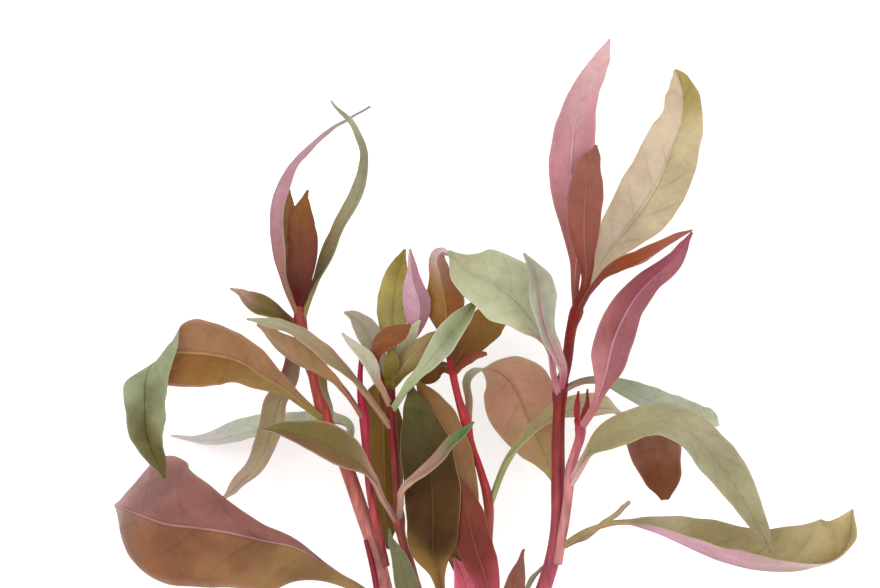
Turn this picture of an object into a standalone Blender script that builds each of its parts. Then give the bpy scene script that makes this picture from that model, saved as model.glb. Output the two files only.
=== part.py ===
"""Alternanthera reineckii, an aquarium plant with several shoots, cut off at its base and lying on its back.

Metres, +Z up. The plant's own up direction is +Y, and the side that faces up is its front. Leaf and stem
points are written in millimetres from the middle of the plant's front, with z counted from the surface it
lies on, and the empty "plant" carries them all.
"""

import math

import bpy

MM = 0.001

LEAF_THICKNESS = 0.7
STEM_SIDES_RESOLUTION = 2
ROW_SPACING = 5.0
FEWEST_ROWS = 6
CURLED_ROW_SPACING = 2.8
LENGTH_ABOVE = 30.0
QUARTER_CIRCLE_HANDLE = 0.5523

# Where the middle of the whole plant's underside lies, in the millimetres that the points use.
PLANT_CENTRE = (11.0, 40.1, 0.15)


def clear_scene():
    for obj in list(bpy.data.objects):
        bpy.data.objects.remove(obj)


def material(name, colour, roughness):
    made = bpy.data.materials.new(name)
    made.use_nodes = True
    shader = made.node_tree.nodes["Principled BSDF"]
    shader.inputs["Base Color"].default_value = (*colour, 1.0)
    shader.inputs["Roughness"].default_value = roughness
    shader.inputs["Metallic"].default_value = 0.0
    return made


def curve_through(name, rows, widths, tilts):
    """A smooth curve through the rows' points, with a width and a roll at each."""
    data = bpy.data.curves.new(name, "CURVE")
    data.dimensions = "3D"
    data.twist_mode = "Z_UP"
    data.resolution_u = 6
    spline = data.splines.new("BEZIER")
    spline.radius_interpolation = "CARDINAL"
    spline.tilt_interpolation = "CARDINAL"
    spline.bezier_points.add(len(rows) - 1)
    for point, row, width, tilt in zip(spline.bezier_points, rows, widths, tilts):
        point.co = [value * MM for value in row[:3]]
        point.handle_left_type = point.handle_right_type = "AUTO"
        point.radius = width
        point.tilt = math.radians(tilt)
    return data


def stem(name, look, rows):
    """A round stem through (x, y, z, radius) rows, closed at both ends."""
    data = curve_through(name, rows, [row[3] for row in rows], [0.0] * len(rows))
    data.bevel_depth = MM
    data.bevel_resolution = STEM_SIDES_RESOLUTION
    data.resolution_u = 2
    data.use_fill_caps = True
    data.materials.append(look)
    made = bpy.data.objects.new(name, data)
    bpy.context.scene.collection.objects.link(made)
    made.parent = plant
    return made


def curl_line(name, start, heading, straight, radius):
    """A line that runs straight, turns right back over itself in a half circle and runs on above itself.

    It starts at the point start, in the points' millimetres, and heads that many degrees round from +X.
    """
    data = bpy.data.curves.new(name, "CURVE")
    data.dimensions = "3D"
    data.twist_mode = "Z_UP"
    data.use_radius = False
    spline = data.splines.new("BEZIER")
    back = straight - LENGTH_ABOVE
    spline.bezier_points.add(4)
    for point, (x, y), (along, up) in zip(
        spline.bezier_points,
        ((0, 0), (straight, 0), (straight + radius, radius), (straight, 2 * radius), (back, 2 * radius)),
        ((1, 0), (1, 0), (0, 1), (-1, 0), (-1, 0)),
    ):
        reach = QUARTER_CIRCLE_HANDLE * radius
        point.handle_left_type = point.handle_right_type = "FREE"
        point.co = (x * MM, y * MM, 0)
        point.handle_left = ((x - along * reach) * MM, (y - up * reach) * MM, 0)
        point.handle_right = ((x + along * reach) * MM, (y + up * reach) * MM, 0)
    line = bpy.data.objects.new(name, data)
    line.location = [value * MM for value in start]
    line.rotation_euler = (math.radians(90), 0, math.radians(heading))
    line.hide_render = True
    line.display_type = "WIRE"
    bpy.context.scene.collection.objects.link(line)
    line.parent = plant
    return line


def leaf_blank(name, length, fold, sway, across, spacing):
    """A strip 1 mm to each side, folded along its midrib. The guide runs level with its margins.

    The sway, at its foot and at its tip, is how much wider one side of the midrib is than the other.
    """
    rows = max(FEWEST_ROWS, round(length / spacing))
    sides = [2.0 * k / across - 1.0 for k in range(across + 1)]
    lean = math.radians(fold)
    points = []
    for i in range(rows + 1):
        wider = sway[0] + (sway[1] - sway[0]) * i / rows
        points += [
            (
                length * i / rows * MM,
                (side + wider * abs(side)) * math.cos(lean) * MM,
                (abs(side) - 1.0) * math.sin(lean) * MM,
            )
            for side in sides
        ]
    step = across + 1
    faces = [
        (i * step + k, (i + 1) * step + k, (i + 1) * step + k + 1, i * step + k + 1)
        for i in range(rows)
        for k in range(across)
    ]
    mesh = bpy.data.meshes.new(name)
    mesh.from_pydata(points, [], faces)
    mesh.shade_smooth()
    return mesh


def leaf(name, look, fold, rows, across=2, sway=(0.0, 0.0), spacing=ROW_SPACING, curl=None):
    """A leaf on a guide through (x, y, z, half width, roll) rows, from its petiole's foot to its tip.

    At roll 0 the leaf lies flat with its upper side to the front, and at 180 its underside is to the front.
    A curl line then folds the finished leaf over, across its blade.
    """
    guide_data = curve_through(name + ".guide", rows, [row[3] for row in rows], [row[4] for row in rows])
    guide_data.use_radius = True
    guide_data.use_stretch = True
    guide_data.use_deform_bounds = True
    length = guide_data.splines[0].calc_length() / MM
    guide = bpy.data.objects.new(name + ".guide", guide_data)
    guide.hide_render = True
    guide.display_type = "WIRE"
    made = bpy.data.objects.new(name, leaf_blank(name, length, fold, sway, across, spacing))
    for obj in (guide, made):
        bpy.context.scene.collection.objects.link(obj)
        obj.parent = plant
    bend = made.modifiers.new("bend along the guide", "CURVE")
    bend.object = guide
    bend.deform_axis = "POS_X"
    if curl:
        over = made.modifiers.new("curl right over", "CURVE")
        over.object = curl
        over.deform_axis = "POS_X"
    wall = made.modifiers.new("blade thickness", "SOLIDIFY")
    wall.thickness = LEAF_THICKNESS * MM
    wall.offset = 0.0
    made.data.materials.append(look)
    return made


clear_scene()

plant = bpy.data.objects.new("plant", None)
plant.location = [-value * MM for value in PLANT_CENTRE]
bpy.context.scene.collection.objects.link(plant)

stem_red = material("red stem", (0.36, 0.06, 0.06), 0.4)
stem_pink = material("pink stem", (0.50, 0.12, 0.16), 0.4)
sage = material("sage green blade", (0.45, 0.52, 0.32), 0.5)
olive = material("olive blade", (0.33, 0.33, 0.17), 0.5)
brown = material("golden brown blade", (0.30, 0.15, 0.06), 0.5)
tan = material("tan underside", (0.42, 0.22, 0.12), 0.5)
rose = material("rose underside", (0.50, 0.23, 0.28), 0.5)
dark = material("dark olive blade", (0.10, 0.09, 0.05), 0.5)
maroon = material("maroon blade", (0.28, 0.06, 0.06), 0.5)


def build_stems():
    stem("stem_main", stem_pink, [
        (4, -56, 3.1, 2.9), (7, -48, 6, 2.8), (12, -36, 14, 2.6), (19, -20, 26, 2.2), (25, -3, 34, 2.0),
        (29, 12, 36, 1.9), (29.5, 27, 36, 1.8), (29.5, 37, 36, 1.7), (30, 48, 36, 1.9),
        (31.5, 55.5, 36, 1.5),
        (33, 65.5, 36, 1.4), (34.2, 69.3, 36.3, 1.6),
    ])
    stem("stem_right_side", stem_pink, [
        (30.4, 12.5, 38.6, 0.9), (31, 16, 39.4, 1.1), (32, 23, 40, 1.1), (32.6, 29.5, 40.5, 1.2),
        (33.8, 34, 40.8, 1.2), (35, 38, 41, 1.3), (35, 40.3, 41, 1.3),
    ])
    stem("stem_middle", stem_red, [
        (9.3, -38, 16.5, 1.5), (9.5, -28, 23, 1.5), (10, -16, 30, 1.5), (11.5, -2, 34.5, 1.4),
        (12.2, 12, 36, 1.3), (12, 21.8, 36, 1.4), (10.2, 29, 36.5, 1.0), (7.5, 37, 37, 1.0),
        (6.5, 41.5, 37, 1.2), (4.7, 47, 36.5, 1.0), (2.8, 55.5, 35, 1.0),
    ])
    stem("stem_centre", stem_red, [
        (4.6, -44, 13, 1.6), (2.5, -32, 20, 1.6), (-1.5, -15, 29, 1.6), (-6, 0, 34, 1.4),
        (-8.3, 8.5, 35.5, 1.3),
        (-9.8, 13.5, 36, 1.3), (-10.4, 17, 36, 1.5), (-11, 30, 36, 1.2), (-12, 39.5, 36, 1.2),
        (-12.5, 50, 36, 1.1),
    ])
    stem("stem_left", stem_red, [
        (1.2, -49, 6, 2.1), (-3, -38, 12, 2.1), (-8, -22, 22, 2.0), (-12.8, -4, 30, 1.9),
        (-16.4, 9.8, 34, 1.9),
        (-18.9, 17, 35, 1.9), (-23.6, 30.5, 36, 1.8), (-28.2, 42, 36, 1.7), (-30, 47, 36, 1.4),
        (-32, 54, 35.5, 1.3),
        (-33.8, 61, 35, 1.2), (-35, 67, 34.5, 1.5), (-35.2, 71.2, 34.5, 1.1),
    ])
    stem("stem_left_thin", stem_red, [
        (-13.4, 5.5, 35.3, 0.9), (-15, 12, 37.5, 1.0), (-17.2, 22, 38.5, 1.0), (-18.5, 34, 38, 0.9),
        (-19, 42.5, 37, 1.1), (-20, 50, 36, 0.8), (-19.5, 59, 35.5, 0.6),
    ])
    stem("stem_left_shoot", stem_red, [
        (-13.2, -12, 29.8, 0.8), (-15, -4, 34, 0.8), (-17, 6, 37.6, 0.8), (-18.6, 12, 38.4, 0.6),
    ])


def build_left_leaves():
    leaf("leaf_left_whip", rose, 25, [
        (-36.5, 69, 35, 0.8, 110), (-38.6, 76, 36.5, 1.2, 115), (-40.1, 83, 37.5, 3.3, 118),
        (-40.6, 90, 38, 4.0, 120), (-40, 98, 37.5, 3.6, 120), (-36.6, 105.3, 36, 2.4, 120),
        (-32.5, 110, 34, 1.6, 120), (-27.2, 114.6, 32, 0.8, 130), (-17.3, 120.5, 30, 0.3, 150),
    ])
    leaf("leaf_left_olive", olive, 25, [
        (-33.6, 67.6, 36, 0.8, -60), (-31.8, 75.3, 36.5, 1.1, -60), (-28.9, 82, 37, 3.1, -58),
        (-25.8, 89.5, 37.5, 3.4, -55), (-20.9, 99.3, 37.5, 3.1, -55), (-19.2, 106, 37, 2.5, -55),
        (-20.7, 113.5, 36, 1.7, -55), (-27.5, 122, 34, 0.3, -55),
    ])
    leaf("leaf_left_young", brown, 20, [
        (-35.1, 71.7, 36.0, 0.9, 175), (-34.6, 76.5, 38, 2.8, 175), (-34.4, 84, 39.5, 4.1, 175),
        (-34.4, 92, 40, 3.4, 175), (-33.9, 96.5, 39.5, 1.7, 175), (-33, 99.5, 39, 0.3, 175),
    ])
    leaf("leaf_left_young_back", brown, 20, [
        (-35.6, 71.9, 32.8, 0.7, 0), (-37, 78, 31.5, 2.2, 0), (-37.3, 86, 30.5, 2.8, 0),
        (-37.5, 94, 30, 1.6, 0), (-37.8, 99.8, 30, 0.3, 0),
    ])
    leaf("leaf_left_hooked", olive, 25, [
        (-37, 66.6, 35.5, 0.8, 60), (-39.5, 68.5, 37, 2.0, 50), (-43, 70.3, 38.5, 3.4, 40),
        (-47, 71.8, 39.5, 3.1, 35), (-50.2, 73.8, 39.5, 1.2, 35), (-52.5, 75, 38.5, 0.3, 35),
    ])
    leaf("leaf_left_pale", sage, 15, [
        (-13.5, 41.5, 37.2, 0.8, 55), (-16.8, 46.5, 41.5, 0.8, 55), (-21.5, 53.0, 45, 1.6, 55),
        (-27.5, 57.9, 47, 3.2, 55), (-31.3, 61, 48, 3.2, 55), (-37.8, 65.3, 49, 3.2, 55),
        (-43, 66.6, 48.5, 2.2, 55), (-48.3, 67.3, 47.5, 0.3, 55),
    ])
    leaf("leaf_left_under", tan, 20, [
        (-20.9, 43.6, 37.2, 0.8, 110), (-23.5, 49, 39, 1.0, 115), (-29.3, 54.3, 41, 2.6, 130),
        (-35, 58.5, 42.5, 3.8, 140), (-39.8, 62, 43, 3.2, 140), (-43.3, 64.5, 43, 1.6, 140),
        (-45.8, 66, 42.5, 0.3, 140),
    ])
    fold_line = curl_line("leaf_left_curled.curl", (-25.4, 15, 55), 135.4, 60, 3.5)
    leaf("leaf_left_curled", sage, 15, [
        (-30.4, 42.6, 36.9, 0.9, 150), (-34, 46.2, 39, 1.2, 155), (-39, 50.2, 42.5, 2.4, 160),
        (-44.5, 53.5, 46, 4.6, 168), (-50, 56.8, 50, 6.2, 175), (-56.3, 58.3, 53, 7.8, 180),
        (-64, 59, 55, 8.6, 180), (-73, 59.5, 55, 8.4, 180), (-81.9, 59.6, 55, 6.2, 180),
        (-88.2, 59.4, 55, 5.2, 180), (-93, 59.6, 55, 4.8, 180), (-98, 60.9, 55, 3.4, 180),
        (-102, 62.8, 55, 1.9, 180), (-105.4, 64.3, 55, 0.4, 180),
    ], across=6, spacing=CURLED_ROW_SPACING, curl=fold_line)
    leaf("leaf_left_low", rose, 20, [
        (-15.1, -4.2, 31.3, 0.9, 190), (-20, 0.2, 33, 0.9, 190), (-30, 6.3, 37, 2.8, 190),
        (-36.5, 9.9, 41, 6.4, 190), (-43.8, 11.2, 43.5, 9.0, 192), (-52.8, 13.2, 45, 11.4, 192),
        (-61.5, 14.4, 44.5, 14.4, 190), (-67, 14.9, 42, 15.8, 190), (-72.5, 16.5, 37, 15.2, 188),
        (-76.9, 18.2, 30, 12.0, 186), (-79.3, 19.2, 20, 7.4, 184), (-80.2, 20, 10, 3.4, 182),
        (-79, 20.3, 0.9, 0.5, 180),
    ], across=4, sway=(-1.3, 1.1))
    leaf("leaf_left_back", sage, 20, [
        (-20.4, 35.6, 35.5, 0.8, 65), (-22.5, 40.2, 30, 2.0, 65), (-27.5, 42.4, 24, 3.6, 65),
        (-35, 41.8, 17, 4.6, 65), (-45, 40.6, 11.5, 5.0, 60), (-52.8, 38.8, 7.5, 5.0, 60),
        (-60, 37.0, 4, 3.0, 65), (-68, 37.8, 1, 0.4, 65),
    ])
    leaf("leaf_left_hanging", olive, 20, [
        (-35.8, 64.6, 32.8, 0.8, 0), (-37, 61, 30.5, 1.0, 15), (-37, 56.5, 28, 2.6, 35),
        (-38.5, 50.8, 25, 3.2, 40), (-41.3, 45.8, 22, 3.8, 40), (-43, 39, 19.5, 4.2, 40),
        (-46.3, 31.3, 17.5, 3.4, 40), (-52.5, 24, 16, 1.6, 40), (-55, 21.8, 15.5, 0.3, 40),
    ])
    leaf("leaf_left_mid", olive, 20, [
        (-12.6, 17.6, 36.6, 0.8, 40), (-14.5, 23, 42, 0.8, 40), (-18, 29.5, 45, 1.6, 35),
        (-22.5, 33.8, 47.5, 4.8, 30), (-27.5, 36.8, 49.5, 5.2, 30), (-33.8, 38.8, 50.5, 4.2, 35),
        (-38.8, 40, 50.5, 2.4, 40), (-44.3, 39.8, 49.5, 0.3, 40),
    ])
    leaf("leaf_left_strip", sage, 15, [
        (-34.4, 64.3, 32.3, 0.8, 0), (-33, 60, 29, 2.2, 0), (-31.3, 55, 27, 2.6, 0),
        (-30.2, 50, 27, 2.2, 0),
        (-28.6, 45, 28, 1.7, 0), (-27.4, 41.5, 29, 0.4, 0),
    ])


def build_centre_leaves():
    leaf("leaf_centre_pale_tip", sage, 20, [
        (-13.9, 46.9, 37.4, 0.8, 45), (-14.8, 51, 42, 1.0, 45), (-17, 56, 45.5, 2.8, 45),
        (-20, 59.5, 47, 2.4, 45), (-24.5, 63.8, 47, 0.3, 45),
    ])
    leaf("leaf_centre_grey_tip", sage, 20, [
        (-14.2, 50.8, 35.3, 0.7, 20), (-15.4, 57, 33.5, 2.4, 20), (-17.4, 63, 33, 3.6, 20),
        (-20.4, 67.0, 33, 2.6, 20), (-24, 69, 33, 0.3, 20),
    ])
    leaf("leaf_centre_orange", tan, 15, [
        (-14.2, 51.4, 36.6, 0.7, 150), (-16.3, 56, 40.5, 1.2, 150), (-16, 59.5, 42.5, 2.0, 150),
        (-13, 62.4, 43.5, 3.0, 150), (-10, 64.2, 43.5, 2.6, 150), (-7.3, 65.8, 43, 0.4, 150),
    ])
    leaf("leaf_centre_brown", brown, 20, [
        (-11.3, 51.4, 37.6, 0.7, 170), (-9.2, 55.2, 40, 2.6, 170), (-5.5, 59.2, 41, 3.0, 170),
        (-2, 62.3, 41, 1.8, 170), (1, 65, 41, 0.3, 170),
    ])
    leaf("leaf_centre_bud", olive, 20, [
        (-12.8, 51.6, 38.6, 0.6, 180), (-12.2, 54.6, 42.6, 2.0, 180), (-12.2, 57.4, 43.4, 2.0, 180),
        (-12.4, 59.6, 43.4, 0.6, 180),
    ])
    leaf("leaf_centre_stub", sage, 20, [
        (-11.9, 51.3, 36.6, 0.6, 0), (-9.5, 58, 36.8, 1.8, 0), (-7, 63.5, 37.5, 1.8, 0),
        (-5, 67, 37.6, 0.4, 0),
    ])
    leaf("leaf_centre_yellow", olive, 15, [
        (-13.0, 51.3, 34.2, 0.6, 0), (-12.5, 55.5, 31.5, 0.9, 0), (-12, 59.5, 31, 1.4, 0),
        (-11.8, 65.8, 30, 3.6, 0),
        (-11.5, 72, 29.5, 4.3, 0), (-10.5, 78.3, 29.5, 3.2, 0), (-8.8, 84.8, 29.5, 0.3, 0),
    ])
    leaf("leaf_centre_pink", rose, 30, [
        (-11.7, 51.3, 35.4, 0.6, 180), (-9.5, 58, 33.8, 0.9, 180), (-6, 65.5, 34.5, 2.4, 185),
        (-5.6, 71, 35.5, 4.4, 188), (-6.6, 75, 35.5, 3.2, 186), (-7.2, 79, 35, 1.8, 180),
        (-7.5, 84.8, 34.5, 0.3, 180),
    ])
    leaf("leaf_centre_slanting", sage, 15, [
        (-10.6, 46, 37.2, 0.8, -20), (-8.5, 50, 42, 1.0, -20), (-5, 54.3, 45, 1.6, -20),
        (-0.8, 59.5, 47, 3.3, -20), (3, 64.5, 47.5, 3.5, -20), (6.3, 68.3, 47, 2.6, -20),
        (9.3, 72, 46, 0.4, -20),
    ])
    leaf("leaf_centre_golden", brown, 15, [
        (-13.8, 50.3, 33.2, 1.0, 180), (-15.2, 49.2, 31.3, 3.0, 180), (-15.2, 46, 30.3, 4.4, 180),
        (-14.3, 41, 30, 5.0, 180),
        (-14, 32, 29.5, 5.2, 180), (-13.7, 22, 29.5, 4.4, 180), (-13.3, 14.5, 29.5, 2.2, 180),
        (-13, 9.5, 29.5, 0.4, 180),
    ])
    leaf("leaf_centre_dark", dark, 15, [
        (-0.2, -13.5, 31.5, 0.9, 180), (0.6, -4, 38, 1.0, 180), (-0.3, 3.3, 41, 1.8, 180),
        (-1.8, 10, 42.5, 6.2, 180), (-1.7, 17, 43.5, 7.0, 180), (-2.2, 27, 43.5, 7.2, 180),
        (-4, 37, 42.8, 6.2, 180), (-6.3, 45.8, 40.8, 3.2, 180), (-7.3, 51, 39.4, 0.4, 180),
    ])
    leaf("leaf_centre_grey_low", sage, 20, [
        (-3.6, -7, 34.2, 0.8, 0), (-7, -3, 39, 2.4, 0), (-8.8, 2, 41.5, 3.2, 0), (-10, 7, 42, 2.4, 0),
        (-11.8, 11.5, 41.5, 1.0, 0), (-12.8, 15, 41, 0.3, 0),
    ])
    leaf("leaf_centre_crossing", sage, 20, [
        (-9.7, 18.9, 37.8, 0.8, -50), (-9.9, 21.2, 43.3, 0.8, -50), (-8.6, 26, 48.8, 1.0, -50),
        (-3.8, 29.8, 51, 2.1, -50), (-0.3, 32.8, 52, 2.5, -50), (2.5, 36.3, 52, 2.4, -50),
        (5.3, 38.7, 51.5, 1.6, -50), (8.5, 41.8, 50.5, 0.3, -50),
    ])


def build_middle_leaves():
    leaf("leaf_middle_hooded", brown, 20, [
        (2.7, 56.8, 35, 0.7, 180), (1.5, 63.3, 33.5, 1.6, 180), (1.5, 68.3, 33, 4.4, 180),
        (1, 73.3, 32.5, 4.9, 180), (0, 78.3, 32.5, 3.2, 180), (-0.7, 82, 33, 2.2, 180),
        (0.6, 84, 34.5, 1.3, 180), (2.2, 83.4, 36, 0.5, 180),
    ])
    leaf("leaf_middle_golden", brown, 15, [
        (3.9, 56.4, 33.6, 1.0, 180), (6.3, 60, 31.5, 3.2, 180), (11.4, 65.4, 30.5, 4.6, 180),
        (15.4, 67.8, 30.5, 3.5, 180), (19.8, 67.3, 30.5, 0.4, 180),
    ])
    leaf("leaf_middle_low_brown", brown, 15, [
        (2.1, 55.2, 33.4, 0.8, 180), (0, 55.2, 31.5, 2.0, 180), (-3, 53.2, 30.8, 2.6, 180),
        (-5.8, 50.4, 30.5, 0.5, 180),
    ])
    leaf("leaf_middle_small_tip", maroon, 20, [
        (4.6, 55.6, 36.2, 0.6, 180), (6.8, 57, 37.3, 1.0, 180), (9.5, 58, 37.8, 0.8, 180),
        (11.8, 58.6, 37.8, 0.3, 180),
    ])
    leaf("leaf_middle_behind", brown, 15, [
        (9.6, -2.8, 33.3, 0.8, 180), (5.5, 4.5, 35, 2.2, 180), (4.5, 14.5, 38, 5.0, 180),
        (4.0, 24.5, 39.5, 5.6, 180), (1.8, 34.5, 39.5, 6.0, 180), (-1.2, 43.3, 38.5, 5.0, 180),
        (-3.8, 48.8, 37.5, 2.4, 180), (-5.8, 51.8, 37, 0.4, 180),
    ])
    leaf("leaf_middle_crimson", maroon, 20, [
        (11.2, -12.5, 34.0, 0.8, 180), (12.4, -3.5, 38.6, 2.2, 180), (11.1, 3.5, 40.5, 4.2, 180),
        (9.2, 9, 41.2, 4.8, 180), (7.4, 15.8, 41.8, 4.4, 180), (6, 22, 42.0, 3.4, 180),
        (4.2, 28.5, 42.0, 0.4, 180),
    ])
    leaf("leaf_middle_hot_pink", rose, 20, [
        (8.6, -18, 31.8, 0.8, 0), (7.5, -9, 36.4, 2.4, 0), (6.6, 0, 38.4, 3.3, 0), (4.9, 5, 38.6, 1.8, 0),
        (3.3, 7.6, 38.6, 0.4, 0),
    ])
    leaf("leaf_middle_arched", tan, 12, [
        (8.3, 42.3, 35, 0.8, -50), (7.2, 47, 32.3, 1.0, -50), (6.8, 51.8, 29.5, 1.9, -55),
        (9.4, 55, 26.8, 3.7, -78), (14, 55.7, 23.5, 6.4, -118), (18, 52.8, 21.5, 8.8, -150),
        (20, 48.5, 20.3, 9.4, -170), (22, 42.5, 19.5, 8.8, -180), (24.6, 36.5, 19.5, 6.4, -180),
        (27.3, 30.8, 19.5, 3.0, -180), (28.3, 26.5, 19.5, 0.4, -180),
    ], across=4)
    leaf("leaf_middle_passing", olive, 15, [
        (14.4, 22.7, 36.2, 0.8, -60), (14.6, 27, 34.5, 0.9, -60), (16.8, 32, 32, 1.2, -60),
        (20.5, 37, 30.5, 1.9, -60), (25, 41.5, 28.5, 3.2, -60), (31, 44.8, 26.5, 4.6, -58),
        (38, 45.9, 24.5, 5.8, -58), (45, 45.4, 22, 7.0, -80), (50.5, 41.8, 20, 7.6, -130),
        (53.2, 36.5, 19, 7.4, -165), (55, 30.5, 18.5, 6.0, -178), (56.2, 25.2, 18.5, 4.1, -180),
        (56.6, 21.6, 18.5, 1.0, -180),
    ], across=4)


def build_right_leaves():
    leaf("leaf_right_pink_top", rose, 20, [
        (33.7, 71.0, 35.8, 0.9, 175), (33.8, 75.8, 36, 1.0, 175), (34.2, 83.3, 36.5, 2.2, 175),
        (33.4, 93.3, 37, 4.4, 175), (32.8, 103.8, 37.5, 5.6, 175), (33.2, 110.5, 37.5, 6.0, 175),
        (33.9, 116.5, 37.5, 5.4, 175), (35.8, 123, 37, 4.3, 175), (38.3, 128.3, 36.5, 3.3, 175),
        (40.8, 133.3, 36, 1.9, 175), (42.5, 137.3, 35.5, 0.3, 175),
    ])
    leaf("leaf_right_brown_red", maroon, 20, [
        (35.5, 70.6, 38.2, 0.9, 180), (36.5, 78, 41, 1.3, 180), (36, 86, 43, 3.4, 180),
        (36, 93.3, 44, 4.8, 180), (36.3, 98.5, 44, 5.0, 180), (37, 104.5, 43.5, 3.6, 180),
        (38.5, 108.5, 43, 1.7, 180), (39, 110.8, 42.5, 0.3, 180),
    ])
    leaf("leaf_right_tall", sage, 15, [
        (36.2, 69.9, 35, 0.9, -15), (37.8, 76, 34, 1.2, -15), (41.5, 83.5, 32, 3.0, -15),
        (46.3, 89.8, 29.5, 6.4, -12), (51.3, 96.4, 26, 8.2, -10), (55.4, 103.4, 21.5, 8.2, -8),
        (58.2, 110.5, 16.5, 7.2, -6), (60.8, 117.3, 11, 5.6, -5), (61.2, 124.3, 6, 4.2, -5),
        (60.3, 128, 3, 2.4, -5), (59.2, 130.3, 0.55, 0.4, -5),
    ], across=4)
    leaf("leaf_right_narrow", maroon, 20, [
        (37.2, 69.7, 35.8, 0.8, -118), (39.5, 77.4, 41.5, 1.4, -118), (45, 80.8, 45, 4.0, -120),
        (49.5, 82.9, 46.5, 4.2, -120), (53.8, 85.3, 47.5, 3.0, -120), (58.8, 87.8, 48, 1.7, -120),
        (63, 89.5, 48, 0.3, -120),
    ])
    leaf("leaf_right_magenta", rose, 25, [
        (37.2, 41.5, 41.6, 0.9, 182), (38.6, 45.5, 44, 1.1, 182), (40.1, 49.6, 45.5, 1.7, 182),
        (41.6, 55, 46.5, 4.4, 182), (43, 61.2, 47, 5.6, 182), (45.4, 67, 47, 5.4, 182),
        (48.4, 72.2, 46.5, 4.5, 182), (52.2, 76.6, 45.5, 3.5, 182), (57.5, 81.3, 44, 2.5, 182),
        (60.8, 85.5, 43, 1.3, 182), (63, 89, 42.5, 0.3, 182),
    ])
    leaf("leaf_right_arching", sage, 15, [
        (33.2, 27.2, 43.6, 1.1, -50), (35.4, 31.4, 45.2, 1.3, -50), (37.4, 34.8, 46.6, 1.8, -48),
        (39.4, 37, 48, 4.0, -44), (42.3, 38.6, 49.6, 5.1, -40), (46.5, 40.1, 52, 5.3, -38),
        (51.5, 42, 54, 5.2, -38), (57, 42.2, 55.5, 5.6, -36), (62.5, 39.6, 56.5, 5.7, -34),
        (67.6, 34.6, 57, 5.8, -30), (72.4, 28.5, 57, 5.4, -26), (76.5, 21.3, 57, 4.2, -22),
        (79.8, 15, 57, 2.3, -20), (82.3, 9, 57, 0.3, -20),
    ], across=4)
    leaf("leaf_right_back", sage, 15, [
        (32.9, 50.3, 36, 0.8, -45), (34.8, 51.6, 36, 0.8, -45), (38.5, 52.2, 35.5, 1.1, -45),
        (44, 51, 35, 2.6, -45), (50, 48.4, 34, 4.2, -45), (57, 45.6, 30, 4.7, -45),
        (63.5, 43.8, 21, 4.3, -45), (67.8, 42.8, 11, 3.2, -45), (69.8, 42.2, 3.4, 2.0, -45),
        (70.2, 42, 0.9, 0.5, -45),
    ])
    leaf("leaf_right_boat", olive, 50, [
        (31.2, 9.6, 37.6, 0.8, -70), (33.2, 12.8, 40, 0.9, -70), (36.5, 14.8, 42, 0.9, -68),
        (40.5, 16, 44, 0.9, -66), (45, 17.2, 46, 1.2, -66), (50.5, 17.2, 48, 3.0, -64),
        (57, 16.6, 50, 5.6, -62), (66, 14.8, 52, 8.6, -62), (75, 12.6, 53.5, 10.0, -62),
        (84, 11.4, 54.5, 10.8, -56), (91.5, 11.5, 55, 11.3, -46), (98.4, 13.4, 55.5, 10.0, -38),
        (102.8, 20, 55, 0.4, -30),
    ], across=4)
    leaf("leaf_right_sage", sage, 12, [
        (28.6, 49.2, 38.2, 0.8, 10), (28.3, 54, 42, 0.8, 10), (27, 60.4, 45.4, 1.2, 10),
        (23.5, 66.6, 48, 4.5, 10), (18.8, 72.6, 49.5, 8.3, 10), (13.2, 76.7, 49.5, 8.1, 10),
        (7, 79.4, 48.5, 5.7, 10), (2, 84.3, 47, 0.4, 10),
    ], across=4)
    leaf("leaf_right_folded", sage, 30, [
        (31.6, 50.2, 38.6, 0.8, 35), (30.8, 54, 44, 1.5, 35), (28.8, 59.5, 48.5, 2.4, 35),
        (26.9, 64.5, 52, 3.0, 35), (26.0, 69.5, 54, 4.1, 35), (25.7, 74, 55, 4.4, 35),
        (24.1, 79.5, 55, 2.6, 35), (20.8, 83.8, 54, 0.3, 35),
    ])
    leaf("leaf_right_maroon_tip", maroon, 20, [
        (17.8, -17.5, 30.5, 0.8, 180), (18.0, -8, 37, 3.4, 180), (18.6, 0, 39, 2.9, 180),
        (19.8, 4.8, 39.5, 1.6, 180), (21, 9.8, 39.5, 0.3, 180),
    ])
    leaf("leaf_right_thin_grey", sage, 15, [
        (25.6, 8.2, 35, 0.6, 85), (24.3, 4, 34, 1.6, 85), (21.5, 0, 33, 2.4, 85), (18.5, -4.5, 32, 1.6, 85),
        (16, -8.5, 31, 0.3, 85),
    ])
    leaf("leaf_right_spike", rose, 15, [
        (31.3, 10, 34.8, 0.5, -80), (36.5, 13.2, 36.5, 0.5, -80), (42, 17, 39, 0.8, -80),
        (45, 19.6, 40.5, 0.8, -80), (47.5, 21.8, 41, 0.3, -80),
    ])
    leaf("leaf_right_bud_a", maroon, 20, [
        (34.6, 41.1, 40.5, 0.7, 120), (34.2, 44.4, 41, 1.8, 120), (34.7, 49.3, 41, 0.3, 120),
    ])
    leaf("leaf_right_bud_b", maroon, 20, [
        (35.6, 41.2, 39.2, 0.7, -120), (36.4, 44.4, 39.2, 1.8, -120), (36.9, 49.8, 39.2, 0.3, -120),
    ])


build_stems()
build_left_leaves()
build_centre_leaves()
build_middle_leaves()
build_right_leaves()
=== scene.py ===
import math

import bmesh
import bpy
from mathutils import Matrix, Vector
from mathutils.geometry import intersect_point_line


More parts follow.
